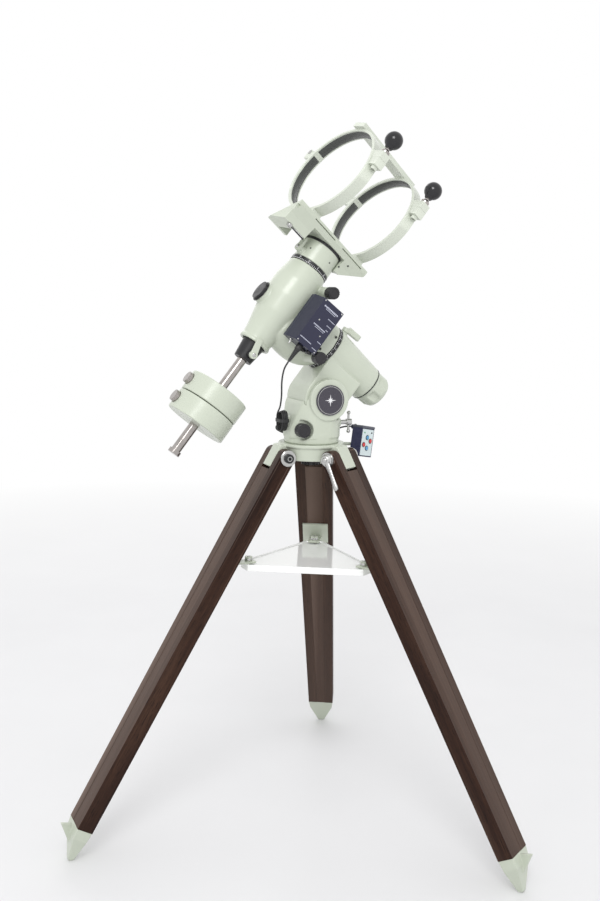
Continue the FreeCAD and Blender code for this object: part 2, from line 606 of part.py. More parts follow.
# ---- tube rings ----
def ring_plate():
    """The plate under the rings and the deep saddle below it, hollow and open at the bottom."""
    start, end = PLATE_ENDS
    wide = PLATE_HALF
    side = [(start, PLATE_TOP), (end, PLATE_TOP), (end, PLATE_TOP - 14), (43, SADDLE_BOTTOM), (start, SADDLE_BOTTOM)]
    body = prism([V(x, -wide, z) for x, z in side], V(0, 2 * wide, 0))
    section = [(-wide, PLATE_TOP), (-wide, PLATE_TOP - 8), (-wide + 9, 144), (-wide + 13, SADDLE_BOTTOM),
               (wide - 13, SADDLE_BOTTOM), (wide - 9, 144), (wide, PLATE_TOP - 8), (wide, PLATE_TOP)]
    body = body.common(prism([V(start, y, z) for y, z in section], V(end - start, 0, 0)))
    corner, low, far = V(start, -wide, PLATE_TOP), V(start, 17, SADDLE_BOTTOM), V(start + 46, wide, PLATE_TOP)
    out = (far - corner).cross(low - corner).normalize()
    oblique = Part.makePlane(400, 400, corner, out)
    oblique.translate(oblique.CenterOfMass.sub(corner) * -1)
    body = body.cut(oblique.extrude(out * 100))
    body = body.cut(rod(V(0, 0, 100), V(0, 0, HEAD_TOP + 3 + GAP), HEAD_RADIUS + 1.7))
    body = body.cut(block(V(start + 36, -33, 100), V(-40, 28, 160)))
    body = body.cut(block(V(-72, -60, 100), V(30, 60, HEAD_TOP + 3 + GAP)))
    body = body.cut(block(V(40, -33, 100), V(62, 33, 156)))
    body = body.cut(block(V(start - 1, -wide - 1, 157), V(start + 6, -wide + 6, 164)))
    for low_x, high_x in SIDE_SLOTS:
        for way in (-1, 1):
            inner, outer = sorted((way * (wide - 5), way * (wide + 1)))
            body = body.cut(block(V(low_x, inner, PLATE_TOP - 7.4), V(high_x, outer, PLATE_TOP - 5)))
    return placed(body.removeSplitter(), RING_FRAME)


def ring_band(x):
    low, high = V(x - RING_WIDTH / 2, 0, TUBE_AXIS), V(x + RING_WIDTH / 2, 0, TUBE_AXIS)
    return ring(low, high, RING_OUTER, RING_INNER)


def half_space(above):
    if above:
        return block(V(-300, -200, SPLIT + GAP / 2), V(300, 200, 600))
    return block(V(-300, -200, 0), V(300, 200, SPLIT - GAP / 2))


def ring_base(x):
    """A ring's lower half: foot, clamp lug with its nut, hinge ears and pin."""
    wide = RING_WIDTH / 2
    low, high = V(x - wide, 0, TUBE_AXIS), V(x + wide, 0, TUBE_AXIS)
    foot = block(V(x - wide, -42, PLATE_TOP + GAP), V(x + wide, 42, TUBE_AXIS - 95))
    lug = block(V(x - 11, -LUG_PIN - 10, SPLIT - 17), V(x + 11, -RING_INNER + 14, SPLIT))
    nut = prism([V(x + 7.5 * math.cos(k * math.pi / 3), -LUG_PIN + 7.5 * math.sin(k * math.pi / 3), SPLIT - 24)
                 for k in range(6)], V(0, 0, 8))
    body = joined(ring_band(x), foot, lug).cut(rod(low, high, RING_INNER)).common(half_space(False))
    body = body.fuse(nut)
    for inner, outer in ((-wide, -wide + 7), (wide - 7, wide)):
        ear = joined(rod(V(x + inner, LUG_PIN, SPLIT), V(x + outer, LUG_PIN, SPLIT), 7),
                     block(V(x + inner, RING_INNER - 14, SPLIT - 16), V(x + outer, LUG_PIN + 7, SPLIT)))
        body = body.fuse(ear.cut(rod(low, high, RING_INNER)))
    body = body.cut(rod(V(x, -LUG_PIN, SPLIT - 30), V(x, -LUG_PIN, SPLIT + 5), 4.5))
    pin = rod(V(x - wide, LUG_PIN, SPLIT), V(x + wide, LUG_PIN, SPLIT), 3)
    return placed(joined(body, pin), RING_FRAME)


def ring_lids():
    """Both upper halves with the bar that joins them, one piece on the hinge pins."""
    bar = block(V(RING_PLACES[0] - 20, -17, TUBE_AXIS + RING_OUTER - 1), V(RING_PLACES[1] + 20, 17, TUBE_AXIS + 117))
    lids = bar
    for x in RING_PLACES:
        wide = RING_WIDTH / 2
        low, high = V(x - wide, 0, TUBE_AXIS), V(x + wide, 0, TUBE_AXIS)
        lug = block(V(x - 11, -LUG_PIN - 10, SPLIT), V(x + 11, -RING_INNER + 22, SPLIT + 16))
        half = joined(ring_band(x), lug).cut(rod(low, high, RING_INNER)).common(half_space(True))
        knuckle = joined(rod(V(x - 5.3, LUG_PIN, SPLIT), V(x + 5.3, LUG_PIN, SPLIT), 7),
                         block(V(x - 5.3, RING_INNER - 18, SPLIT + 1), V(x + 5.3, LUG_PIN, SPLIT + 12)))
        clear = block(V(x - 20, LUG_PIN - 9, SPLIT - 1), V(x - 5.4, LUG_PIN + 12, SPLIT + 8))
        half = half.cut(clear).cut(placed(clear, FreeCAD.Placement(V(25.4, 0, 0), FreeCAD.Rotation())))
        half = half.fuse(knuckle).cut(rod(low, high, RING_INNER))
        half = half.cut(rod(V(x - 20, LUG_PIN, SPLIT), V(x + 20, LUG_PIN, SPLIT), 3 + RUN))
        half = half.cut(rod(V(x, -LUG_PIN, SPLIT - 5), V(x, -LUG_PIN, SPLIT + 30), 4 + RUN))
        lids = lids.fuse(half)
    return placed(lids.removeSplitter(), RING_FRAME)


def lid_knob(x):
    """A clamp screw through a ring's lugs, with its ball knob."""
    y = -LUG_PIN
    stem = rod(V(x, y, SPLIT - 11), V(x, y, SPLIT + 40), 4)
    collar = rod(V(x, y, SPLIT + 16 + GAP), V(x, y, SPLIT + 25), 6.8)
    ball = Part.makeSphere(18.5, V(x, y, SPLIT + 50))
    neck = rod(V(x, y, SPLIT + 27), V(x, y, SPLIT + 40), 8)
    return placed(joined(stem, collar, neck, ball), RING_FRAME)


# ---- hand controller and its lead ----
BUTTONS = {"button_red_upper": (11, 2), "button_red_lower": (-11, -7),
           "button_blue_upper": (-1, 9), "button_blue_lower": (1, -14)}


def controller():
    deep, wide, tall = PAD_SIZE
    case = block(V(-deep / 2, -wide / 2, -tall / 2), V(deep / 2, wide / 2, tall / 2))
    for y, z in BUTTONS.values():
        case = case.cut(rod(V(deep / 2 - 6, y, z), V(deep / 2 + 1, y, z), 4.2))
    gland = rod(PAD_GLAND + V(10, 0, 0), PAD_GLAND, 5)
    return placed(joined(case, gland), PAD_FRAME)


def button(name):
    y, z = BUTTONS[name]
    deep = PAD_SIZE[0]
    return placed(rod(V(deep / 2 - 3.5, y, z), V(deep / 2 + 2, y, z), 4.1), PAD_FRAME)


def lead(points, radius):
    """A round lead along straight runs joined by tangent arcs."""
    edges = []
    last = points[0]
    for before, corner, after in zip(points, points[1:], points[2:]):
        first, second = before - corner, after - corner
        bend = math.pi - first.getAngle(second)
        shorter = min(first.Length, second.Length)
        arc_radius = 0.45 * shorter / math.tan(bend / 2)
        reach = 0.45 * shorter
        start = corner + V(first).normalize() * reach
        end = corner + V(second).normalize() * reach
        middle_way = (V(first).normalize() + V(second).normalize()).normalize()
        middle = corner + middle_way * (math.hypot(arc_radius, reach) - arc_radius)
        print("lead arc radius %.1f" % arc_radius)
        edges.append(Part.LineSegment(last, start).toShape())
        edges.append(Part.Arc(start, middle, end).toShape())
        last = end
    edges.append(Part.LineSegment(last, points[-1]).toShape())
    path = Part.Wire(edges)
    section = Part.Wire(Part.Circle(points[0], points[1] - points[0], radius).toShape())
    tube = path.makePipeShell([section], True, False)
    print("lead length %.0f, volume ratio %.4f" % (path.Length, tube.Volume / (math.pi * radius ** 2 * path.Length)))
    return tube


def cable():
    """The lead from the control box to the hank, and on round the back of the base to the controller."""
    leaves = HEAD_FRAME.multVec(PLUG - UP * RELIEF_END)
    below = HEAD_FRAME.multVec(PLUG - UP * (RELIEF_END + 14))
    upper = [leaves, below, V(-102, -76, 986), V(-99, -65, 969), V(-91, -47, 955), V(-82, -27, 942),
             V(-73, -9, 930), V(-67, 0, 918), V(-67, 0, HANK_TOP)]
    gland = PAD_FRAME.multVec(PAD_GLAND)
    gland_out = PAD_FRAME.multVec(PAD_GLAND - V(20, 0, 0))
    lower = [V(-67, 12, 872), V(-67, 28, 872), V(-64, 46, 866), V(-55, 60, 857), V(-38, 66, 849),
             V(-18, 67, 843), V(4, 66, 840), V(26, 63, 840), V(49, 56, 843.5), V(69, 46, 850), gland_out, gland]
    return lead(upper, CABLE), lead(lower, CABLE)


def cable_hank():
    """The slack wound into a small hank, strapped to the clip on the base."""
    body = block(V(-75, -12, HANK_END), V(-59, 12, HANK_TOP))
    return rounded(body, 5, lambda edge: edge.BoundBox.XLength > 15)


def build():
    os.makedirs("parts", exist_ok=True)
    write("tripod_hub", tripod_hub())
    write("pivot_bolts", *[pivot_bolt(name) for name in LEG_ANGLES])
    for name in LEG_ANGLES:
        write("leg_%s_boards" % name, *leg_boards(name))
        write("leg_%s_shoe" % name, leg_shoe(name))
        write("leg_%s_bracket" % name, leg_bracket(name))
        write("leg_%s_lever" % name, clamp_lever(name))
    write("tray", tray())
    write("base_bolt", base_bolt())
    write("base_casting", base_casting())
    write("badge_plates", *badge_plates())
    write("azimuth_knob_near", azimuth_knob(-1))
    write("azimuth_knob_far", azimuth_knob(1))
    write("altitude_bolt", altitude_bolt())
    write("polar_housing", polar_housing())
    write("ra_bearings", *bearings((142, 228), "X"))
    write("polar_cap", polar_cap())
    write("ra_circle", setting_circle(127.5, 135.4, 50.5, 40, "X"))
    write("ra_clamp_lever", ra_clamp_lever())
    write("ra_shaft", ra_shaft())
    write("ra_wheel", wheel(RA_WHEEL_AT, "X"))
    write("ra_worm_knob", worm_knob(RA_WHEEL_AT, -WORM_CENTRES, -74 - GAP))
    write("dec_housing", dec_housing())
    write("window_cap", window_cap())
    write("control_box", control_box())
    write("box_plug", box_plug())
    write("dec_bearings", *bearings((-80, 50), "Z"))
    write("dec_wheel", wheel(DEC_WHEEL_AT, "Z"))
    write("dec_worm_knob", worm_knob(WORM_CENTRES, DEC_WHEEL_AT, -60 - GAP))
    write("dec_circle", setting_circle(DEC_TOP + GAP, HEAD_START - 0.4, 43.2, 36, "Z"))
    write("dec_shaft", dec_shaft())
    write("dec_head", dec_head())
    write("dec_clamp_lever", dec_clamp_lever())
    write("weight_socket", weight_socket())
    write("socket_lever", socket_lever())
    write("weight_shaft", weight_shaft())
    lower_top = WEIGHT_TOP - WEIGHT_THICK - WEIGHT_GAP
    write("weight_upper", weight(WEIGHT_TOP))
    write("weight_lower", weight(lower_top))
    write("weight_knob_upper", weight_knob(WEIGHT_TOP))
    write("weight_knob_lower", weight_knob(lower_top))
    write("ring_plate", ring_plate())
    write("ring_bases", *[ring_base(x) for x in RING_PLACES])
    write("ring_lids", ring_lids())
    write("lid_knob_upper", lid_knob(RING_PLACES[0]))
    write("lid_knob_lower", lid_knob(RING_PLACES[1]))
    write("controller", controller())
    for name in BUTTONS:
        write(name, button(name))
    write("cable", *cable())
    write("cable_hank", cable_hank())


build()
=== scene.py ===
"""Looks of the equatorial mount: materials, castings, fittings and the controller's lead.

Lengths are in millimetres in each piece's own frame, as on a drawing, and the frame's matrix turns
them into metres in the row frame. HEAD has X down the polar axis and Z up the declination axis,
RING is HEAD turned to the tube's direction, and a leg's frame has -Z down the leg.
"""
import math

import bmesh
import bpy
from mathutils import Matrix, Vector


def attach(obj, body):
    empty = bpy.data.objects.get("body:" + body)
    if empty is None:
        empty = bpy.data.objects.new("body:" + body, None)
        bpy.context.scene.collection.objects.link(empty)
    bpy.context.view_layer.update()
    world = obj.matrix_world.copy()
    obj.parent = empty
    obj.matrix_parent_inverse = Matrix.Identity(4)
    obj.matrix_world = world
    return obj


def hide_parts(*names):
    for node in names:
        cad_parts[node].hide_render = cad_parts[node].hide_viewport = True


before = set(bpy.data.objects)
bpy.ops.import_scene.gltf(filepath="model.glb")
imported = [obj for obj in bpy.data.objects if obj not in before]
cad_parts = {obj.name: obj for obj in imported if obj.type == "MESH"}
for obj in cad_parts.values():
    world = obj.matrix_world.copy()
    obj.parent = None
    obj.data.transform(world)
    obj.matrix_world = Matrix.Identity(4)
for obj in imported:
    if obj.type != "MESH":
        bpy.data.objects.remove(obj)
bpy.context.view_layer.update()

# ---- the object's driving dimensions, mm ----
LATITUDE = 38.0
AXES_CROSS = Vector((-77, 0, 1117))
TUBE_TURN = 12.0
PIVOT_HEIGHT = 810.0
PIVOT_RADIUS = 72.0
LEG_TILT = 30.0
LEG_ANGLES = {"north": 180, "west": 300, "east": 60}
WASHER_FACE = 45.5
FORK_PIVOT = Vector((12.5, 0, 930))
CHEEK_FACE = 60.0
AZ_KNOB = Vector((-42, 0, 867.6))
PAD = Vector((124, 4, 832))
PAD_SIZE = Vector((26, 44, 66))
GLAND = Vector((-13, -12, 29))
GLAND_LENGTH = 9.0
BUTTONS = ((11, 2), (-11, -7), (-1, 9), (1, -14))
RING_PLACES = {"upper": -86.0, "lower": 60.0}
RING_INNER = 102.0
RING_WIDTH = 25.0
TUBE_AXIS = 282.0
SPLIT = 322.0
LUG_PIN = 115.0
PLATE_TOP = 174.0
BOX_LOW, BOX_HIGH = -50.0, 53.0
BOX_FRONT, BOX_EDGE = -95.0, -64.1
BOX_NORTH, BOX_FOLD, BOX_SOUTH = 20.0, 32.0, 84.0
PLUG = Vector((53, -80, BOX_LOW))
RELIEF_END = 40.0
LEAD_RADIUS = 1.7
DEC_LEVER_TURN = 18.0
HANK = Vector((-67.8, 0, 883))

MM = Matrix.Scale(0.001, 4)


def turn(degrees, axis):
    return Matrix.Rotation(math.radians(degrees), 4, axis)


HEAD = MM @ Matrix.Translation(AXES_CROSS) @ turn(LATITUDE, "Y")
RING = HEAD @ turn(TUBE_TURN, "Z")
CONTROLLER = MM @ Matrix.Translation(PAD) @ turn(-65, "Z") @ turn(-10, "X")
PIVOT = Matrix.Translation((PIVOT_RADIUS, 0, PIVOT_HEIGHT))
LEG = {name: MM @ turn(angle, "Z") @ PIVOT @ turn(-LEG_TILT, "Y") for name, angle in LEG_ANGLES.items()}


# ---- camera ----
def camera():
    """A standing viewer's place, a little west of south, looking slightly down."""
    azimuth, pitch, roll = math.radians(-24.66), math.radians(8.5), math.radians(1.1)
    level = Vector((math.sin(azimuth), -math.cos(azimuth), 0))
    back = level * math.cos(pitch) + Vector((0, 0, math.sin(pitch)))
    right = Vector((math.cos(azimuth), math.sin(azimuth), 0))
    up = back.cross(right)
    tilted_right = right * math.cos(roll) + up * math.sin(roll)
    tilted_up = up * math.cos(roll) - right * math.sin(roll)
    data = bpy.data.cameras.new("camera")
    data.lens = 41.88
    data.sensor_width = 36.0
    obj = bpy.data.objects.new("camera", data)
    bpy.context.collection.objects.link(obj)
    rotation = Matrix((tilted_right, tilted_up, back)).transposed().to_4x4()
    obj.matrix_world = Matrix.Translation((-0.9406, -1.9926, 1.1462)) @ rotation
    bpy.context.scene.camera = obj


# ---- materials ----
class Shader:
    """A node material with the object's own coordinates, in metres, as its texture space."""

    def __init__(self, name):
        self.material = bpy.data.materials.new(name)
        self.material.use_nodes = True
        self.nodes = self.material.node_tree.nodes
        self.links = self.material.node_tree.links
        self.surface = self.nodes["Principled BSDF"]
        self.place = self.nodes.new("ShaderNodeTexCoord").outputs["Object"]

    def add(self, kind, **inputs):
        node = self.nodes.new(kind)
        for key, value in inputs.items():
            slot = node.inputs[key.replace("_", " ")]
            if isinstance(value, bpy.types.NodeSocket):
                self.links.new(value, slot)
            else:
                slot.default_value = value
        return node

    def noise(self, scale, detail=3.0, rough=0.55, where=None):
        node = self.add("ShaderNodeTexNoise", Scale=scale, Detail=detail, Roughness=rough,
                        Vector=where or self.place)
        return node.outputs["Fac"]

    def ramp(self, value, *stops):
        node = self.add("ShaderNodeValToRGB", Fac=value)
        ramp = node.color_ramp
        while len(ramp.elements) < len(stops):
            ramp.elements.new(0.5)
        for element, (at, colour) in zip(ramp.elements, stops):
            element.position = at
            element.color = colour if len(colour) == 4 else (*colour, 1)
        return node.outputs["Color"]

    def level(self, value, low, high, to_low, to_high):
        node = self.add("ShaderNodeMapRange", Value=value, From_Min=low, From_Max=high,
                        To_Min=to_low, To_Max=to_high)
        return node.outputs["Result"]

    def blend(self, fac, first, second, mode="MIX"):
        node = self.nodes.new("ShaderNodeMix")
        node.data_type = "RGBA"
        node.blend_type = mode
        for slot, value in ((0, fac), (6, first), (7, second)):
            if isinstance(value, bpy.types.NodeSocket):
                self.links.new(value, node.inputs[slot])
            else:
                node.inputs[slot].default_value = value if slot == 0 else (*value, 1)
        return node.outputs[2]

    def bump(self, height, strength, distance, under=None):
        node = self.add("ShaderNodeBump", Height=height, Strength=strength, Distance=distance)
        if under:
            self.links.new(under, node.inputs["Normal"])
        return node.outputs["Normal"]

    def edges(self):
        """High along worn outside edges."""
        point = self.nodes.new("ShaderNodeNewGeometry").outputs["Pointiness"]
        return self.level(point, 0.53, 0.62, 0.0, 1.0)

    def finish(self, **inputs):
        for key, value in inputs.items():
            slot = self.surface.inputs[key.replace("_", " ")]
            if isinstance(value, bpy.types.NodeSocket):
                self.links.new(value, slot)
            else:
                slot.default_value = (*value, 1) if slot.type == "RGBA" and len(value) == 3 else value
        return self.material


def cast_paint(name, colour, gloss=0.34):
    """Satin enamel on a light alloy casting: orange peel, faint mottling and paler edges."""
    s = Shader(name)
    mottle = s.level(s.noise(9.0), 0.3, 0.7, 0.0, 1.0)
    shade = tuple(c * 0.94 for c in colour)
    tint = s.blend(mottle, shade, colour)
    tint = s.blend(s.edges(), tint, tuple(min(1.0, c * 1.14) for c in colour))
    specks = s.ramp(s.noise(420.0, 2.0), (0.72, (0, 0, 0)), (0.78, (1, 1, 1)))
    tint = s.blend(specks, tint, tuple(c * 0.8 for c in colour))
    rough = s.level(s.noise(60.0, 4.0), 0.3, 0.7, gloss - 0.06, gloss + 0.08)
    peel = s.bump(s.noise(700.0, 2.0), 0.16, 0.0004)
    normal = s.bump(s.noise(95.0, 2.0), 0.10, 0.0008, peel)
    return s.finish(Base_Color=tint, Roughness=rough, Normal=normal, Coat_Weight=0.25,
                    Coat_Roughness=0.18)


def plastic(name, colour, gloss=0.42, grain=1500.0, depth=0.12):
    """Moulded plastic with a fine spark-eroded grain, rubbed a little smoother in places."""
    s = Shader(name)
    tint = s.blend(s.level(s.noise(30.0), 0.3, 0.7, 0.0, 1.0), tuple(c * 0.85 for c in colour), colour)
    tint = s.blend(s.edges(), tint, tuple(c * 1.5 + 0.02 for c in colour))
    rough = s.level(s.noise(85.0, 4.0), 0.3, 0.7, gloss - 0.1, gloss + 0.1)
    return s.finish(Base_Color=tint, Roughness=rough, Normal=s.bump(s.noise(grain, 2.0), depth, 0.0003))


def metal(name, colour, gloss=0.25, along=(0, 0, 1), streak=900.0):
    """Turned or drawn metal: fine marks across an axis, smudged brighter and duller."""
    s = Shader(name)
    lengthwise = s.add("ShaderNodeVectorMath")
    lengthwise.operation = "DOT_PRODUCT"
    s.links.new(s.place, lengthwise.inputs[0])
    lengthwise.inputs[1].default_value = along
    marks = s.nodes.new("ShaderNodeTexNoise")
    marks.noise_dimensions = "1D"
    s.links.new(lengthwise.outputs["Value"], marks.inputs["W"])
    marks.inputs["Scale"].default_value = streak
    smudge = s.noise(55.0, 5.0)
    tint = s.blend(s.level(smudge, 0.35, 0.7, 0.0, 1.0), tuple(c * 0.8 for c in colour), colour)
    rough = s.level(smudge, 0.3, 0.75, gloss - 0.07, gloss + 0.12)
    normal = s.bump(marks.outputs["Fac"], 0.05, 0.0002)
    return s.finish(Base_Color=tint, Metallic=1.0, Roughness=rough, Normal=normal)


def wood(name, frame_matrix):
    """Dark stained hardwood, its grain along the leg."""
    s = Shader(name)
    axes = frame_matrix.to_3x3().normalized()
    parts = []
    for column in range(3):
        dot = s.add("ShaderNodeVectorMath")
        dot.operation = "DOT_PRODUCT"
        s.links.new(s.place, dot.inputs[0])
        dot.inputs[1].default_value = axes.col[column]
        parts.append(dot.outputs["Value"])
    grain = s.add("ShaderNodeCombineXYZ", X=parts[0], Y=parts[1], Z=parts[2]).outputs["Vector"]

    def stretched(x, y, z):
        node = s.nodes.new("ShaderNodeMapping")
        node.inputs["Scale"].default_value = (x, y, z)
        s.links.new(grain, node.inputs["Vector"])
        return node.outputs["Vector"]

    figure = s.noise(1.0, 5.0, 0.6, stretched(26, 26, 1.4))
    streaks = s.noise(1.0, 4.0, 0.6, stretched(230, 230, 5.0))
    pores = s.ramp(s.noise(1.0, 2.0, 0.5, stretched(1500, 1500, 45)),
                   (0.56, (0, 0, 0)), (0.66, (1, 1, 1)))
    tint = s.ramp(figure, (0.28, (0.014, 0.006, 0.004)), (0.5, (0.040, 0.018, 0.011)),
                  (0.72, (0.078, 0.040, 0.025)))
    tint = s.blend(s.level(streaks, 0.35, 0.65, 0.0, 0.55), tint, (0.018, 0.009, 0.008))
    tint = s.blend(pores, tint, (0.009, 0.005, 0.004))
    tint = s.blend(s.edges(), tint, (0.15, 0.105, 0.085))
    rough = s.level(streaks, 0.3, 0.7, 0.38, 0.55)
    normal = s.bump(pores, 0.25, -0.0002, s.bump(streaks, 0.18, 0.0004))
    return s.finish(Base_Color=tint, Roughness=rough, Normal=normal, Specular_IOR_Level=0.12)


def tray_enamel():
    """Glossy pale enamel with faint scuffs where things have lain."""
    s = Shader("tray_white")
    scuffs = s.ramp(s.noise(260.0, 6.0, 0.7), (0.60, (0, 0, 0)), (0.70, (1, 1, 1)))
    tint = s.blend(s.noise(7.0), (0.90, 0.915, 0.90), (0.94, 0.95, 0.94))
    tint = s.blend(scuffs, tint, (0.84, 0.85, 0.83))
    rough = s.level(scuffs, 0.0, 1.0, 0.10, 0.3)
    return s.finish(Base_Color=tint, Roughness=rough, Normal=s.bump(s.noise(45.0), 0.06, 0.001),
                    Coat_Weight=0.6, Coat_Roughness=0.06)


def felt():
    s = Shader("felt")
    fluff = s.noise(2600.0, 6.0, 0.8)
    tint = s.blend(fluff, (0.030, 0.032, 0.030), (0.085, 0.090, 0.085))
    return s.finish(Base_Color=tint, Roughness=0.95, Normal=s.bump(fluff, 0.7, 0.0006), Sheen_Weight=0.4)


def floor_material():
    """A pale studio floor that fades into the white surroundings."""
    s = Shader("floor")
    distance = s.add("ShaderNodeVectorMath")
    distance.operation = "LENGTH"
    s.links.new(s.place, distance.inputs[0])
    fade = s.level(distance.outputs["Value"], 1.7, 4.2, 0.0, 1.0)
    tone = s.noise(3.0)
    s.finish(Base_Color=s.blend(tone, (0.70, 0.70, 0.71), (0.74, 0.74, 0.75)), Roughness=0.6,
             Normal=s.bump(s.noise(160.0), 0.05, 0.0006))
    glow = s.add("ShaderNodeEmission", Color=(1, 1, 1, 1), Strength=1.0)
    mix = s.add("ShaderNodeMixShader", Fac=fade)
    s.links.new(s.surface.outputs["BSDF"], mix.inputs[1])
    s.links.new(glow.outputs["Emission"], mix.inputs[2])
    s.links.new(mix.outputs["Shader"], s.nodes["Material Output"].inputs["Surface"])
    return s.material


DOWN_DEC = tuple((HEAD.to_3x3() @ Vector((0, 0, 1))).normalized())
PAINT = {
    "mint": cast_paint("mint", (0.530, 0.572, 0.478)),
    "pale_mint": cast_paint("pale_mint", (0.580, 0.615, 0.535), 0.3),
    "steel": metal("steel", (0.60, 0.60, 0.59), 0.26),
    # Painted reflection: the chrome's base colour is darkened and browned to stand in for dark surroundings
    # reflected in it.
    "chrome": metal("chrome", (0.46, 0.43, 0.41), 0.12, DOWN_DEC, 300.0),
    "black_plastic": plastic("black_plastic", (0.016, 0.015, 0.018), 0.46),
    "ball_black": plastic("ball_black", (0.012, 0.012, 0.014), 0.16, 500.0, 0.02),
    "black_metal": plastic("black_metal", (0.010, 0.010, 0.012), 0.42, 2200.0, 0.06),
    "badge_face": plastic("badge_face", (0.050, 0.046, 0.062), 0.30, 2200.0, 0.04),
    "tray_white": tray_enamel(),
    "bronze": metal("bronze", (0.62, 0.42, 0.17), 0.3),
    "navy": cast_paint("navy", (0.008, 0.009, 0.036), 0.40),
    "navy_side": cast_paint("navy_side", (0.009, 0.011, 0.030), 0.46),
    "controller_case": plastic("controller_case", (0.012, 0.013, 0.050), 0.42, 900.0, 0.1),
    "controller_top": plastic("controller_top", (0.055, 0.058, 0.080), 0.40, 900.0, 0.08),
    "controller_face": plastic("controller_face", (0.50, 0.57, 0.58), 0.4, 1200.0, 0.05),
    "red": plastic("red", (0.62, 0.03, 0.035), 0.33, 900.0, 0.05),
    "blue": plastic("blue", (0.10, 0.34, 0.60), 0.33, 900.0, 0.05),
    "lamp_green": plastic("lamp_green", (0.02, 0.28, 0.08), 0.15, 500.0, 0.02),
    "box_print": plastic("box_print", (0.34, 0.35, 0.42), 0.5, 1500.0, 0.03),
    "white_print": plastic("white_print", (0.80, 0.80, 0.82), 0.5, 1500.0, 0.03),
    "lead_rubber": plastic("lead_rubber", (0.018, 0.018, 0.019), 0.5, 1800.0, 0.15),
    "felt": felt(),
}
for leg_name, leg_matrix in LEG.items():
    PAINT["wood_" + leg_name] = wood("wood_" + leg_name, leg_matrix)


# ---- shapes, as bmesh, in millimetres ----
def aim(origin, along, side=(0, 0, 1)):
    """A frame whose X points along, with Z as near to side as it can be."""
    x = Vector(along).normalized()
    y = Vector(side).cross(x).normalized()
    z = x.cross(y)
    turned = Matrix((x, y, z)).transposed().to_4x4()
    return Matrix.Translation(origin) @ turned


def lathe(profile, segments=48):
    """A surface of revolution about X from (along, radius) points, closed at both ends."""
    bm = bmesh.new()
    rings = []
    for along, radius in profile:
        if radius <= 0:
            rings.append([bm.verts.new((along, 0, 0))])
            continue
        angles = [2 * math.pi * k / segments for k in range(segments)]
        rings.append([bm.verts.new((along, radius * math.cos(a), radius * math.sin(a))) for a in angles])
    for first, second in zip(rings, rings[1:]):
        for k in range(segments):
            after = (k + 1) % segments
            corners = [first[k % len(first)], first[after % len(first)],
                       second[after % len(second)], second[k % len(second)]]
            unique = list(dict.fromkeys(corners))
            if len(unique) > 2:
                bm.faces.new(unique)
    for end in (rings[0], rings[-1]):
        if len(end) > 1:
            bm.faces.new(end)
    return bm


def slab(outline, low, high):
    """A flat outline in X and Y, between two heights."""
    bm = bmesh.new()
    lower = [bm.verts.new((x, y, low)) for x, y in outline]
    upper = [bm.verts.new((x, y, high)) for x, y in outline]
    count = len(outline)
    for k in range(count):
        bm.faces.new((lower[k], lower[(k + 1) % count], upper[(k + 1) % count], upper[k]))
    bm.faces.new(lower)
    bm.faces.new(upper)
    return bm


def bar(low, high):
    """A block between two opposite corners."""
    corners = [(low[0], low[1]), (high[0], low[1]), (high[0], high[1]), (low[0], high[1])]
    return slab(corners, low[2], high[2])


def bridge(bm, loops, closed=True):
    """Faces between each loop of points and the next, and between the last loop and the first."""
    count = len(loops[0])
    for first, second in zip(loops, loops[1:] + loops[:1]):
        for k in range(count if closed else count - 1):
            after = (k + 1) % count
            bm.faces.new((first[k], first[after], second[after], second[k]))


def polygon(radius, count):
    angles = [2 * math.pi * k / count for k in range(count)]
    return [(radius * math.cos(a), radius * math.sin(a)) for a in angles]


def socket_screw(radius, height):
    """A cap screw's head along X with its socket."""
    return lathe([(0, 0), (0, radius), (height - 0.08 * radius, radius), (height, radius * 0.92),
                  (height, radius * 0.56), (height * 0.45, radius * 0.50), (height * 0.45, 0)], 36)


def dome_screw(radius, height):
    return lathe([(0, 0), (0, radius), (height * 0.4, radius), (height * 0.8, radius * 0.75),
                  (height, 0)], 20)


def swept(points, sizes, segments=20):
    """An oval bar through points, with (width, thickness) at each; the thickness is along X."""
    bm = bmesh.new()
    rings = []
    thick_way = Vector((1, 0, 0))
    for index, (point, (wide, thick)) in enumerate(zip(points, sizes)):
        before = Vector(points[max(0, index - 1)])
        after = Vector(points[min(len(points) - 1, index + 1)])
        side = (after - before).normalized().cross(thick_way).normalized()
        ring = []
        for k in range(segments):
            a = 2 * math.pi * k / segments
            place = Vector(point) + side * wide * math.cos(a) + thick_way * thick * math.sin(a)
            ring.append(bm.verts.new(place))
        rings.append(ring)
    for first, second in zip(rings, rings[1:]):
        for k in range(segments):
            after = (k + 1) % segments
            bm.faces.new((first[k], first[after], second[after], second[k]))
    bm.faces.new(rings[0])
    bm.faces.new(rings[-1])
    return bm


def soften(obj, width, angle=32.0):
    """Rounds the edges sharper than the angle and evens the shading."""
    bevel = obj.modifiers.new("edges", "BEVEL")
    bevel.width = width * 0.001
    bevel.segments = 2
    bevel.limit_method = "ANGLE"
    bevel.angle_limit = math.radians(angle)
    weighted = obj.modifiers.new("shading", "WEIGHTED_NORMAL")
    weighted.keep_sharp = True


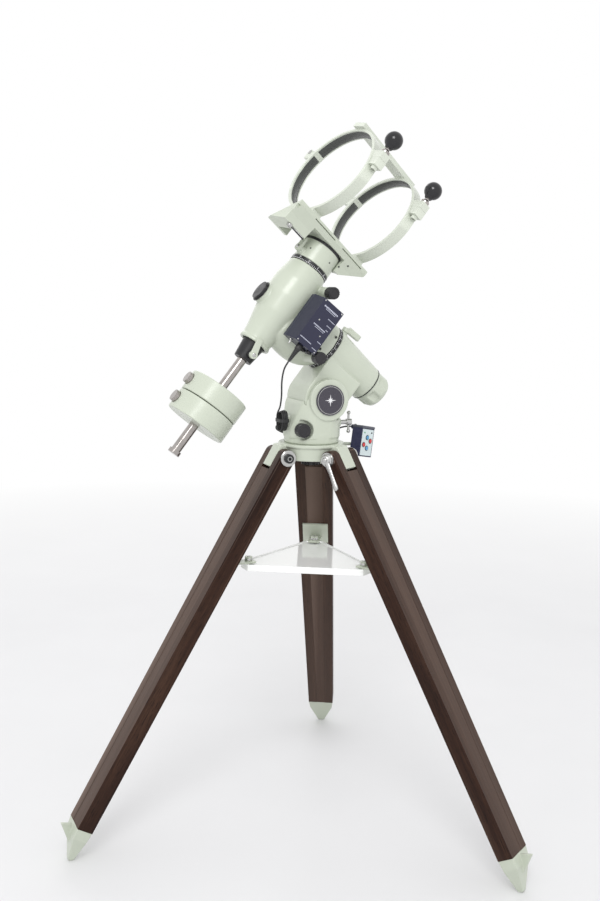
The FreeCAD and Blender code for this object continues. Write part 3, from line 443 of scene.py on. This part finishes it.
def make(name, body, paint, matrix, *shapes, edge=0.3):
    """One piece from (bmesh, place) pairs in a frame, riding on a body."""
    bm = bmesh.new()
    for shape, place in shapes:
        shape.transform(matrix @ place)
        temporary = bpy.data.meshes.new("temporary")
        shape.to_mesh(temporary)
        shape.free()
        bm.from_mesh(temporary)
        bpy.data.meshes.remove(temporary)
    bmesh.ops.recalc_face_normals(bm, faces=bm.faces)
    mesh = bpy.data.meshes.new(name)
    bm.to_mesh(mesh)
    bm.free()
    for face in mesh.polygons:
        face.use_smooth = True
    mesh.materials.append(PAINT[paint])
    obj = bpy.data.objects.new(name, mesh)
    bpy.context.collection.objects.link(obj)
    if edge:
        soften(obj, edge)
    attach(obj, body)
    return obj


HERE = Matrix.Identity(4)


def numeral(text, size):
    """A printed number as a flat mesh in X and Y, centred on the origin."""
    curve = bpy.data.curves.new("numeral", "FONT")
    curve.body = text
    curve.size = size
    curve.align_x = "CENTER"
    curve.align_y = "CENTER"
    curve.resolution_u = 3
    obj = bpy.data.objects.new("numeral", curve)
    mesh = bpy.data.meshes.new_from_object(obj)
    bm = bmesh.new()
    bm.from_mesh(mesh)
    bpy.data.objects.remove(obj)
    bpy.data.curves.remove(curve)
    bpy.data.meshes.remove(mesh)
    return bm


def wrapped(bm, radius, angle, along):
    """Bends a flat mark round a cylinder about X; its own Y runs along the axis."""
    for vert in bm.verts:
        a = angle + vert.co.x / radius
        lift = radius + vert.co.z
        vert.co = Vector((along + vert.co.y, lift * math.cos(a), lift * math.sin(a)))
    return bm


# ---- what the CAD nodes get ----
def finish_node(node, paint, edge=0.5, cast=None):
    """Material and edges for a CAD node.

    A casting gives (voxel, passes, share): it is remeshed so that its corners flow together, smoothed that
    often, and thinned to that share of its faces.
    """
    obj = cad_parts[node]
    obj.data.materials.clear()
    obj.data.materials.append(PAINT[paint])
    weld = obj.modifiers.new("weld", "WELD")
    weld.merge_threshold = 0.00001
    if cast:
        voxel, passes, share = cast
        remesh = obj.modifiers.new("casting", "REMESH")
        remesh.mode = "VOXEL"
        remesh.voxel_size = voxel * 0.001
        remesh.use_smooth_shade = True
        relax = obj.modifiers.new("relax", "SMOOTH")
        relax.factor = 0.5
        relax.iterations = passes
        fewer = obj.modifiers.new("fewer", "DECIMATE")
        fewer.ratio = share
    else:
        soften(obj, edge, 30.0)


def cad_nodes():
    """The looks of every CAD node that stays in sight."""
    for node, voxel in (("tripod_hub", 1.5), ("base_casting", 1.5), ("polar_housing", 1.6),
                        ("dec_housing", 1.6), ("polar_cap", 1.1), ("dec_head", 1.3)):
        finish_node(node, "mint", cast=(voxel, 7, 0.35))
    for leg in LEG_ANGLES:
        finish_node("leg_%s_boards" % leg, "wood_" + leg, edge=1.6)
        finish_node("leg_%s_shoe" % leg, "mint", cast=(1.2, 5, 0.5))
        finish_node("leg_%s_bracket" % leg, "mint", edge=1.0)
    for lever in ("ra_clamp_lever", "dec_clamp_lever", "socket_lever"):
        finish_node(lever, "mint", cast=(0.5, 8, 0.5))
    looks = (
        ("mint", 0.9, "weight_upper", "weight_lower", "ring_plate"),
        ("pale_mint", 0.8, "ring_bases", "ring_lids"),
        ("steel", 0.4, "pivot_bolts", "altitude_bolt", "ra_shaft", "ra_bearings", "dec_shaft",
         "dec_bearings"),
        ("chrome", 0.5, "weight_shaft", "weight_knob_upper", "weight_knob_lower"),
        ("black_plastic", 0.8, "base_bolt"),
        ("black_plastic", 0.5, "azimuth_knob_near", "azimuth_knob_far", "ra_worm_knob", "dec_worm_knob",
         "window_cap"),
        ("black_metal", 0.4, "ra_circle", "dec_circle", "weight_socket"),
        ("bronze", 0.1, "ra_wheel", "dec_wheel"),
        ("badge_face", 0.5, "badge_plates"),
        ("tray_white", 1.2, "tray"),
        ("navy", 1.2, "control_box"),
        ("controller_case", 2.2, "controller"),
        ("red", 0.8, "button_red_upper", "button_red_lower"),
        ("blue", 0.8, "button_blue_upper", "button_blue_lower"),
    )
    for paint, edge, *nodes in looks:
        for node in nodes:
            finish_node(node, paint, edge)


# ---- the controller's lead ----
def hank_turns(turns=4):
    """The hank's loops, side by side: a half circle at each end of two straight sides."""
    bend, reach = 13.0, 8.0
    loop = []
    for centre, start in ((reach, 0), (-reach, 180)):
        for step in range(-2, 3):
            angle = math.radians(start + 40 * step)
            loop.append((bend * math.sin(angle), centre + bend * math.cos(angle)))
        loop.append((math.copysign(bend, centre), 0.0))
    count = len(loop)
    first, pitch = -74.8, 3.5
    route = []
    for k in range(count * turns + 2):
        y, z = loop[(k + 3) % count]
        loose = 1.0 + 0.05 * math.sin(0.4 * k)
        route.append(Vector((first + pitch * k / count, y, HANK.z + z * loose)))
    return route


def metres(points):
    return [tuple(p * 0.001 for p in point) for point in points]


def lead():
    """One lead: control box, hank strapped to the base, round the back of the base, controller."""
    to_mm = MM.inverted()
    leaves = to_mm @ HEAD @ (PLUG - Vector((0, 0, RELIEF_END)))
    below = to_mm @ HEAD @ (PLUG - Vector((0, 0, RELIEF_END + 14)))
    gland = to_mm @ CONTROLLER @ (GLAND - Vector((GLAND_LENGTH, 0, 0)))
    gland_out = to_mm @ CONTROLLER @ (GLAND - Vector((GLAND_LENGTH + 20, 0, 0)))
    upper = [leaves, below, (-102, -76, 986), (-99, -65, 969), (-91, -47, 955), (-83, -29, 941),
             (-77.5, -14, 926), (-75.2, -4, 912)]
    lower = [(-60.4, 13.8, 882), (-62, 20, 873), (-63, 31, 871), (-62.5, 46, 866), (-55, 60, 857),
             (-38, 66, 849), (-18, 67, 843), (4, 66, 840), (26, 63, 840), (49, 56, 843.5), (69, 46, 850),
             gland_out, gland]
    route = upper + hank_turns() + lower
    curve = bpy.data.curves.new("lead", "CURVE")
    curve.dimensions = "3D"
    curve.bevel_depth = LEAD_RADIUS * 0.001
    curve.bevel_resolution = 5
    curve.use_fill_caps = True
    spline = curve.splines.new("NURBS")
    spline.points.add(len(route) - 1)
    for point, place in zip(spline.points, metres(route)):
        point.co = (*place, 1)
    spline.order_u = 3
    spline.use_endpoint_u = True
    spline.resolution_u = 8
    curve.materials.append(PAINT["lead_rubber"])
    obj = bpy.data.objects.new("controller_lead", curve)
    bpy.context.collection.objects.link(obj)
    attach(obj, "azimuth_base")
    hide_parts("cable", "cable_hank")
    return obj, metres([leaves])[0]


def plug():
    """The lead's plug and its ribbed, tapered strain relief."""
    profile = [(0.1, 0), (0.1, 6.2), (0.8, 6.8), (10.5, 6.8), (11.6, 6.2), (12, 5.4)]
    ribs = 7
    for k in range(ribs):
        at = 13.0 + k * 3.6
        radius = 5.4 - 2.0 * k / ribs
        profile += [(at, radius), (at + 1.9, radius - 0.1), (at + 2.2, radius - 0.9),
                    (at + 3.2, radius - 1.0)]
    profile += [(RELIEF_END - 1, 3.3), (RELIEF_END, 2.9), (RELIEF_END, 0)]
    place = aim(PLUG, (0, 0, -1), (1, 0, 0))
    obj = make("lead_plug", "ra_rotor", "lead_rubber", HEAD, (lathe(profile), place), edge=0)
    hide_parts("box_plug")
    return obj


def hank_tie():
    """The hook-and-loop strap round the middle of the hank."""
    half_x, half_y, squareness = 10.4, 16.6, 0.35
    count = 32
    outline = []
    for k in range(count):
        a = 2 * math.pi * k / count
        outline.append((half_x * math.copysign(abs(math.cos(a)) ** squareness, math.cos(a)),
                        half_y * math.copysign(abs(math.sin(a)) ** squareness, math.sin(a))))
    inner = [(x * 0.93, y * 0.94) for x, y in outline]
    low, high = HANK.z - 2, HANK.z + 5
    bm = bmesh.new()
    loops = []
    for points, z in ((outline, low), (outline, high), (inner, high), (inner, low)):
        loops.append([bm.verts.new((HANK.x + x, y, z)) for x, y in points])
    bridge(bm, loops)
    make("hank_tie", "azimuth_base", "lead_rubber", MM, (bm, HERE), edge=0.3)


# ---- tripod fittings ----
def pivot_fittings(leg):
    """Bright washers, black socket screws and the ratchet lever on a leg's pivot."""
    near = aim((0, WASHER_FACE, 0), (0, 1, 0))
    screw = lathe([(0, 0), (0, 9.6), (6.2, 9.6), (7.2, 8.7), (7.2, 5.2), (3.0, 4.6), (3.0, 0)], 48)
    make("pivot_screw_" + leg, "tripod_head", "black_metal", LEG[leg],
         (screw, near @ Matrix.Translation((0.1, 0, 0))), edge=0.3)
    washer = lathe([(-3.5, 0), (-3.5, 16.4), (-2.6, 17.0), (0.0, 17.0), (0.9, 15.6), (0.9, 0)], 64)
    make("pivot_washer_" + leg, "tripod_head", "steel", LEG[leg], (washer, near), edge=0.2)
    face = -WASHER_FACE - 0.1
    far = aim((0, face, 0), (0, -1, 0), (1, 0, 0))
    hub = lathe([(0, 5.2), (0, 12.2), (2.0, 12.6), (4.0, 12.6), (5.0, 10.8), (8.2, 10.2), (9.6, 8.2),
                 (9.6, 5.2), (0, 5.2)], 40)
    arm = swept([(6.0, 4, 0), (6.4, 14, 0.4), (8.0, 26, 1.0), (10.6, 38, 1.6), (12.4, 50, 1.6),
                 (13.0, 60, 1.0), (13.2, 65.5, 0.6), (13.2, 67.5, 0.5)],
                [(6.6, 3.8), (5.6, 3.2), (4.6, 2.7), (4.3, 2.6), (4.8, 3.0), (5.8, 3.9), (4.8, 3.2),
                 (1.4, 1.0)])
    cap = (dome_screw(5.2, 3.2), aim((0, face - 9.4, 0), (0, -1, 0)))
    lever = make("pivot_lever_" + leg, "lever_" + leg, "steel", LEG[leg], (hub, far), (arm, far), cap,
                 edge=0.3)
    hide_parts("leg_%s_lever" % leg)


def tray_screws():
    """The thumbscrews that hold the tray to its brackets."""
    for leg, angle in LEG_ANGLES.items():
        upright = MM @ turn(angle, "Z")
        knob = lathe([(0, 0), (0, 7.4), (1, 8.2), (5.5, 8.2), (6.5, 7.4), (6.8, 3.4), (9.4, 3.2), (10, 2.4),
                      (10, 0)], 40)
        make("tray_screw_" + leg, "leg_" + leg, "steel", upright,
             (knob, aim((140, 0, 590.2), (0, 0, 1), (1, 0, 0))), edge=0.2)


def knob_faces():
    """Turned faces on the black hand knobs."""
    places = [("azimuth_screw_near", MM, (AZ_KNOB.x, -56.1, AZ_KNOB.z), (0, -1, 0), 14.5),
              ("azimuth_screw_far", MM, (AZ_KNOB.x, 56.1, AZ_KNOB.z), (0, 1, 0), 14.5),
              ("ra_worm", HEAD, (100, -95.1, -46.1), (0, -1, 0), 12.5),
              ("dec_worm", HEAD, (46.1, -81.1, 76), (0, -1, 0), 12.5)]
    for body, matrix, origin, way, radius in places:
        cap = lathe([(-1, 0), (-1, radius * 0.80), (0.5, radius * 0.80), (0.9, radius * 0.74),
                     (0.9, radius * 0.62), (0.3, radius * 0.58), (0.3, 0)], 56)
        make("knob_face_" + body, body, "black_plastic", matrix, (cap, aim(origin, way)), edge=0.15)


def badge():
    """A plain star inside a bright ring, on both cheeks."""
    for side, way in (("near", -1), ("far", 1)):
        place = aim((FORK_PIVOT.x, way * (CHEEK_FACE + 2.6), FORK_PIVOT.z), (0, way, 0)) @ turn(90, "Y")
        ring = bmesh.new()
        loops = []
        for radius, z in ((28.9, -0.8), (28.9, 0.35), (27.8, 0.35), (27.8, -0.8)):
            loops.append([ring.verts.new((x, y, z)) for x, y in polygon(radius, 96)])
        bridge(ring, loops)
        make("badge_ring_" + side, "azimuth_base", "steel", MM, (ring, place), edge=0.1)
        star = []
        for k in range(16):
            radius = (13.0, 3.4, 6.4, 3.4)[k % 4]
            a = math.pi / 8 * k
            star.append((radius * math.cos(a), radius * math.sin(a)))
        make("badge_star_" + side, "azimuth_base", "white_print", MM, (slab(star, -0.2, 0.25), place),
             edge=0.08)


# ---- head fittings ----
def scale_marks(name, body, radius, middle, half, axis, labels, size):
    """White ticks and evenly spaced numbers printed round a setting circle."""
    shapes = []
    ticks = 72
    for k in range(ticks):
        long_tick = k % (ticks // len(labels)) == 0
        reach = half * (0.9 if long_tick else 0.5)
        mark = bar((-0.42, -half, -0.2), (0.42, -half + reach, 0.12))
        shapes.append((wrapped(mark, radius, 2 * math.pi * k / ticks, middle), axis))
    for k, label in enumerate(labels):
        number = numeral(label, size)
        for vert in number.verts:
            vert.co.y += half * 0.42
            vert.co.z = 0.1
        shapes.append((wrapped(number, radius, 2 * math.pi * k / len(labels), middle), axis))
    make(name, body, "white_print", HEAD, *shapes, edge=0)


def setting_circles():
    """Hours on the polar axis, degrees on the declination axis."""
    hours = [str(hour) for hour in range(24)]
    scale_marks("ra_scale", "ra_circle", 50.5, 131.45, 3.6, HERE, hours, 4.2)
    degrees = ["0", "30", "60", "90", "60", "30"] * 2
    up = Matrix(((0, 0, 1, 0), (0, 1, 0, 0), (-1, 0, 0, 0), (0, 0, 0, 1))).transposed()
    scale_marks("dec_scale", "dec_circle", 43.2, 102.35, 3.9, up, degrees, 4.4)


def control_panel():
    """The box's folded side panel, printed marks, screws, sockets and switch."""
    fold = Vector((BOX_FOLD - BOX_NORTH, BOX_FRONT - BOX_EDGE, 0))
    out = aim((BOX_NORTH, BOX_EDGE, (BOX_LOW + BOX_HIGH) / 2), fold, (0, 0, 1))
    half = (BOX_HIGH - BOX_LOW) / 2 - 1.5
    make("box_fold", "ra_rotor", "navy_side", HEAD,
         (bar((1.2, -0.5, -half), (fold.length - 1.0, 0.5, half)), out), edge=0.4)
    front = aim((BOX_SOUTH, BOX_FRONT, BOX_LOW), (-1, 0, 0), (0, 0, 1))
    small = (2.1, 1.5)
    rows = ((8, 89, 11, 3.4, 3.4), (12, 86, 14, 1.9, 1.3), (3, 73, 9, *small), (4, 61, 6, *small),
            (6, 52.5, 3, *small), (11, 47.5, 12, 2.6, 2.4), (12, 44.4, 12, 2.0, 1.1),
            (2, 23.5, 5, *small), (20, 11, 13, 2.3, 1.9), (2, 7, 6, *small))
    marks = []
    for x, z, count, pitch, tall in rows:
        for k in range(count):
            left = x + k * pitch
            marks.append((bar((left, -0.2, z), (left + pitch * 0.72, 0.3, z + tall)), front))
    make("box_print", "ra_rotor", "box_print", HEAD, *marks, edge=0)
    screws = []
    for x, z in ((3.2, 3.2), (48.8, 3.2), (3.2, 99.8), (48.8, 99.8), (36, 61), (14, 36)):
        screws.append((dome_screw(1.7, 1.0), aim((BOX_SOUTH - x, BOX_FRONT, BOX_LOW + z), (0, -1, 0))))
    make("box_screws", "ra_rotor", "steel", HEAD, *screws, edge=0.1)
    collars = []
    for x, y, radius in ((66, -68, 8.2), (75, -84, 6.0)):
        ring = lathe([(-1, radius - 2.2), (-1, radius), (3.4, radius), (4.0, radius - 0.6),
                      (4.0, radius - 2.2), (-1, radius - 2.2)], 40)
        collars.append((ring, aim((x, y, BOX_LOW), (0, 0, -1), (1, 0, 0))))
    make("box_sockets", "ra_rotor", "black_metal", HEAD, *collars, edge=0.2)
    switch = lathe([(0, 0), (0, 3.6), (2.2, 3.6), (2.6, 3.0), (3.0, 1.6), (9.0, 1.9), (10, 1.5),
                    (10.4, 0)], 28)
    make("box_switch", "ra_rotor", "steel", HEAD,
         (switch, aim((33, -70, BOX_LOW), (0.15, 0, -1), (1, 0, 0))), edge=0.1)


def lever_screws():
    """The bright slotted screws at the hubs of the cast clamp levers."""
    round_back = math.radians(180 + DEC_LEVER_TURN)
    back = Vector((math.cos(round_back), math.sin(round_back), 0))
    places = [("ra_clamp_lever", (148, 0, 62.0), (0, 0, 1), (1, 0, 0)),
              ("dec_clamp_lever", back * 57.0 + Vector((0, 0, 117)), back, (0, 0, 1)),
              ("socket_lever", (0, -42.0, -119), (0, -1, 0), (0, 0, 1))]
    for body, origin, way, side in places:
        place = aim(origin, way, side)
        make("lever_screw_" + body, body, "steel", HEAD, (dome_screw(4.2, 1.9), place),
             (bar((1.3, -3.6, -0.35), (2.05, 3.6, 0.35)), place), edge=0.12)


def head_screws():
    """Grub screws and plugs on the castings."""
    small = []
    for angle in (-70, -140, 20, 100):
        a = math.radians(angle)
        way = Vector((math.cos(a), math.sin(a), 0))
        small.append((socket_screw(1.7, 0.7), aim(way * 42.2 + Vector((0, 0, 129)), way, (0, 0, 1))))
    make("dec_head_screws", "dec_rotor", "black_metal", HEAD, *small, edge=0.1)
    plugs = []
    for place in ((104, -51.0, -22), (78, -50.36, -38)):
        plugs.append((socket_screw(3.0, 1.4), aim(place, (0, -1, 0))))
    for side in (-1, 1):
        plugs.append((socket_screw(2.6, 1.2), aim((120, side * 46.5, 20), (0.1, side, 0.35))))
    make("housing_screws", "ra_rotor", "black_metal", HEAD, *plugs, edge=0.1)


def black_rings():
    """The window's rim, and black rings that stand in as painted shade for the gaps under the plate and
    before the polar cap.
    """
    rim = lathe([(-0.6, 21.2), (-0.6, 23.4), (0.6, 23.4), (0.9, 22.9), (0.9, 21.2), (-0.6, 21.2)], 64)
    make("window_rim", "ra_rotor", "black_plastic", HEAD, (rim, aim((-53.2, 0, 0), (-1, 0, 0))), edge=0.15)
    # Painted shade: a black ring put in the gap under the plate, where there is only shade.
    gap_shade = lathe([(0, 38), (0, 43.5), (5.6, 43.5), (5.6, 38), (0, 38)], 96)
    make("dec_gap_shade_ring", "dec_rotor", "black_metal", HEAD,
         (gap_shade, aim((0, 0, 149.4), (0, 0, 1), (1, 0, 0))), edge=0.3)
    # Painted shade: a thin black ring put in the gap before the polar cap, where there is only shade.
    seam_shade = lathe([(0, 30), (0, 39.0), (1.7, 38.8), (1.7, 30), (0, 30)], 96)
    make("polar_seam_shade", "polar_body", "black_metal", HEAD, (seam_shade, aim((258.2, 0, 0), (1, 0, 0))), edge=0.2)


def ring_felt(x, low, high):
    """The felt strip inside a tube ring, between two angles in degrees."""
    section = ((RING_INNER + 0.2, -9.0), (RING_INNER + 0.2, 9.0), (RING_INNER - 0.7, 9.0),
               (RING_INNER - 0.7, -9.0))
    bm = bmesh.new()
    loops = [[] for _ in section]
    steps = 72
    for k in range(steps + 1):
        a = math.radians(low + (high - low) * k / steps)
        for loop, (radius, shift) in zip(loops, section):
            loop.append(bm.verts.new((x + shift, radius * math.cos(a), TUBE_AXIS + radius * math.sin(a))))
    bridge(bm, loops, closed=False)
    bm.faces.new([loop[0] for loop in loops])
    bm.faces.new([loop[-1] for loop in loops])
    return bm


def ring_fittings():
    """Felt, clamp screws, hinge pins' ends and the bar's bolts on both tube rings."""
    for end, x in RING_PLACES.items():
        for body, low, high in (("dec_rotor", -199.0, 19.0), ("ring_lids", 25.5, 154.5)):
            make("ring_felt_%s_%s" % (end, body), body, "felt", RING, (ring_felt(x, low, high), HERE), edge=0)
        clamp_screw(end, x)
        pins = [(dome_screw(5.4, 2.4), aim((x + way * RING_WIDTH / 2, LUG_PIN, SPLIT), (way, 0, 0)))
                for way in (-1, 1)]
        make("hinge_screws_" + end, "dec_rotor", "steel", RING, *pins, edge=0.2)
        caps = [(socket_screw(4.0, 3.2), aim((x + shift, 0, TUBE_AXIS + 117), (0, 0, 1), (1, 0, 0)))
                for shift in (-7, 7)]
        make("bar_bolts_" + end, "ring_lids", "black_metal", RING, *caps, edge=0.2)


def clamp_screw(end, x):
    """A bright clamp screw with its collar and black ball knob."""
    foot = aim((x, -LUG_PIN, SPLIT), (0, 0, 1), (1, 0, 0))
    stem = lathe([(-11, 0), (-11, 3.6), (-10, 4.0), (16.1, 4.0), (16.1, 8.6), (18.0, 9.2), (21.5, 9.2),
                  (23.2, 7.6), (25.0, 6.2), (25.6, 4.6), (27.5, 4.2), (30.0, 4.2), (31.5, 5.8), (33.0, 6.0),
                  (33.8, 0)], 48)
    middle, radius = 50, 18.4
    round_side = [math.radians(degrees) for degrees in range(34, 180, 6)]
    ball = lathe([(30.0, 0), (30.0, 7.2), (31.5, 8.4), (33.5, 9.2)]
                 + [(middle - radius * math.cos(a), radius * math.sin(a)) for a in round_side]
                 + [(middle + radius, 0)], 56)
    body = "lid_knob_" + end
    bright = make("clamp_stem_" + end, body, "chrome", RING, (stem, foot), edge=0.2)
    black = make("clamp_ball_" + end, body, "ball_black", RING, (ball, foot), edge=0.2)
    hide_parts(body)
    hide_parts(body)


def controller_details():
    """Grey lid, pale keypad, lamps, button rings and gland of the hand controller."""
    deep, wide, tall = PAD_SIZE
    lid = bar((-deep / 2 - 0.6, -wide / 2 - 0.6, tall / 2 - 5),
              (deep / 2 + 1.4, wide / 2 + 0.6, tall / 2 + 0.8))
    make("controller_lid", "tripod_head", "controller_top", CONTROLLER, (lid, HERE), edge=1.6)
    face = bar((-wide / 2 + 2.4, -tall / 2 + 2.6, -0.4), (wide / 2 - 2.4, tall / 2 - 6.4, 0.6))
    out = Matrix(((0, 0, 1, deep / 2), (1, 0, 0, 0), (0, 1, 0, 0), (0, 0, 0, 1)))
    make("controller_keypad", "tripod_head", "controller_face", CONTROLLER, (face, out), edge=0.3)
    lamp = (dome_screw(1.7, 1.3), aim((deep / 2 + 0.5, -12, 19), (1, 0, 0)))
    make("controller_lamp", "tripod_head", "lamp_green", CONTROLLER, lamp, edge=0.1)
    dots = [(dome_screw(2.0, 1.2), aim((deep / 2 + 0.5, 13, 20), (1, 0, 0)))]
    for y, z in BUTTONS:
        ring = lathe([(0, 4.3), (0, 5.6), (0.7, 5.6), (0.9, 5.3), (0.9, 4.3), (0, 4.3)], 36)
        dots.append((ring, aim((deep / 2 + 0.4, y, z), (1, 0, 0))))
    make("controller_rings", "tripod_head", "black_plastic", CONTROLLER, *dots, edge=0.1)
    gland = lathe([(0, 0), (0, 6.4), (2.4, 6.4), (3.0, 5.4), (6.5, 4.6), (GLAND_LENGTH, 3.6),
                   (GLAND_LENGTH, 0)], 36)
    make("controller_gland", "tripod_head", "lead_rubber", CONTROLLER, (gland, aim(GLAND, (-1, 0, 0))),
         edge=0.2)


def plate_details():
    """Bolts that hold the plate to the head, and the side screws of its saddle."""
    bolts = []
    for x in (-24, 24):
        for y in (-18, 18):
            bolts.append((socket_screw(5.0, 1.6), aim((x, y, PLATE_TOP), (0, 0, 1), (1, 0, 0))))
    for x, y, z, down in ((45, -44.7, 153, -0.41), (31, -39.8, 139, -0.24)):
        bolts.append((socket_screw(1.9, 0.9), aim((x, y, z), (0, -1, down))))
    make("plate_bolts", "dec_rotor", "black_metal", RING, *bolts, edge=0.2)
    knob = lathe([(0, 0), (0, 4.6), (1.0, 5.4), (7.5, 5.4), (8.6, 4.6), (8.6, 2.4), (10.5, 2.2),
                  (10.5, 0)], 18)
    shank = lathe([(-40, 0), (-40, 1.5), (0.5, 1.5), (0.5, 0)], 20)
    place = aim((-112, -34, 124.4), (-1, 0, 0))
    make("saddle_screw", "dec_rotor", "steel", RING, (knob, place), edge=0.2)
    make("saddle_shank", "dec_rotor", "black_metal", RING, (shank, place), edge=0)


def altitude_nut():
    """The hexagonal nut where the altitude bolt enters the base."""
    nut = slab(polygon(9.5, 6), 0, 6)
    upright = Matrix(((1, 0, 0, 0), (0, 0, 1, 0), (0, -1, 0, 0), (0, 0, 0, 1)))
    make("altitude_nut", "azimuth_base", "steel", MM, (nut, aim((66, 0, 876), (0, 1, 0)) @ upright), edge=0.4)


# ---- stage ----
def stage():
    """A round pale floor, white surroundings and two softboxes."""
    mesh = bpy.data.meshes.new("floor")
    sides, radius = 64, 12
    mesh.from_pydata([(x, y, 0) for x, y in polygon(radius, sides)], [], [list(range(sides))])
    mesh.materials.append(floor_material())
    floor = bpy.data.objects.new("floor", mesh)
    bpy.context.collection.objects.link(floor)
    world = bpy.data.worlds.new("world")
    bpy.context.scene.world = world
    world.use_nodes = True
    world.node_tree.nodes["Background"].inputs["Color"].default_value = (1, 1, 1, 1)
    world.node_tree.nodes["Background"].inputs["Strength"].default_value = 1.0
    lamps = [((-1.5, -2.7, 3.4), 1.6, 62), ((0.4, 2.6, 2.6), 2.2, 12)]
    for place, size, power in lamps:
        data = bpy.data.lights.new("softbox", "AREA")
        data.size = size
        data.energy = power
        lamp = bpy.data.objects.new("softbox", data)
        bpy.context.collection.objects.link(lamp)
        lamp.location = place
        lamp.rotation_euler = (Vector((0, 0, 0.9)) - Vector(place)).to_track_quat("-Z", "Y").to_euler()
    bpy.context.scene.view_settings.view_transform = "Standard"


camera()
lead_curve, lead_exit = lead()
lead_plug = plug()
hank_tie()
cad_nodes()
for leg_name in LEG_ANGLES:
    pivot_fittings(leg_name)
tray_screws()
knob_faces()
badge()
setting_circles()
control_panel()
lever_screws()
head_screws()
black_rings()
ring_fittings()
controller_details()
plate_details()
altitude_nut()
stage()
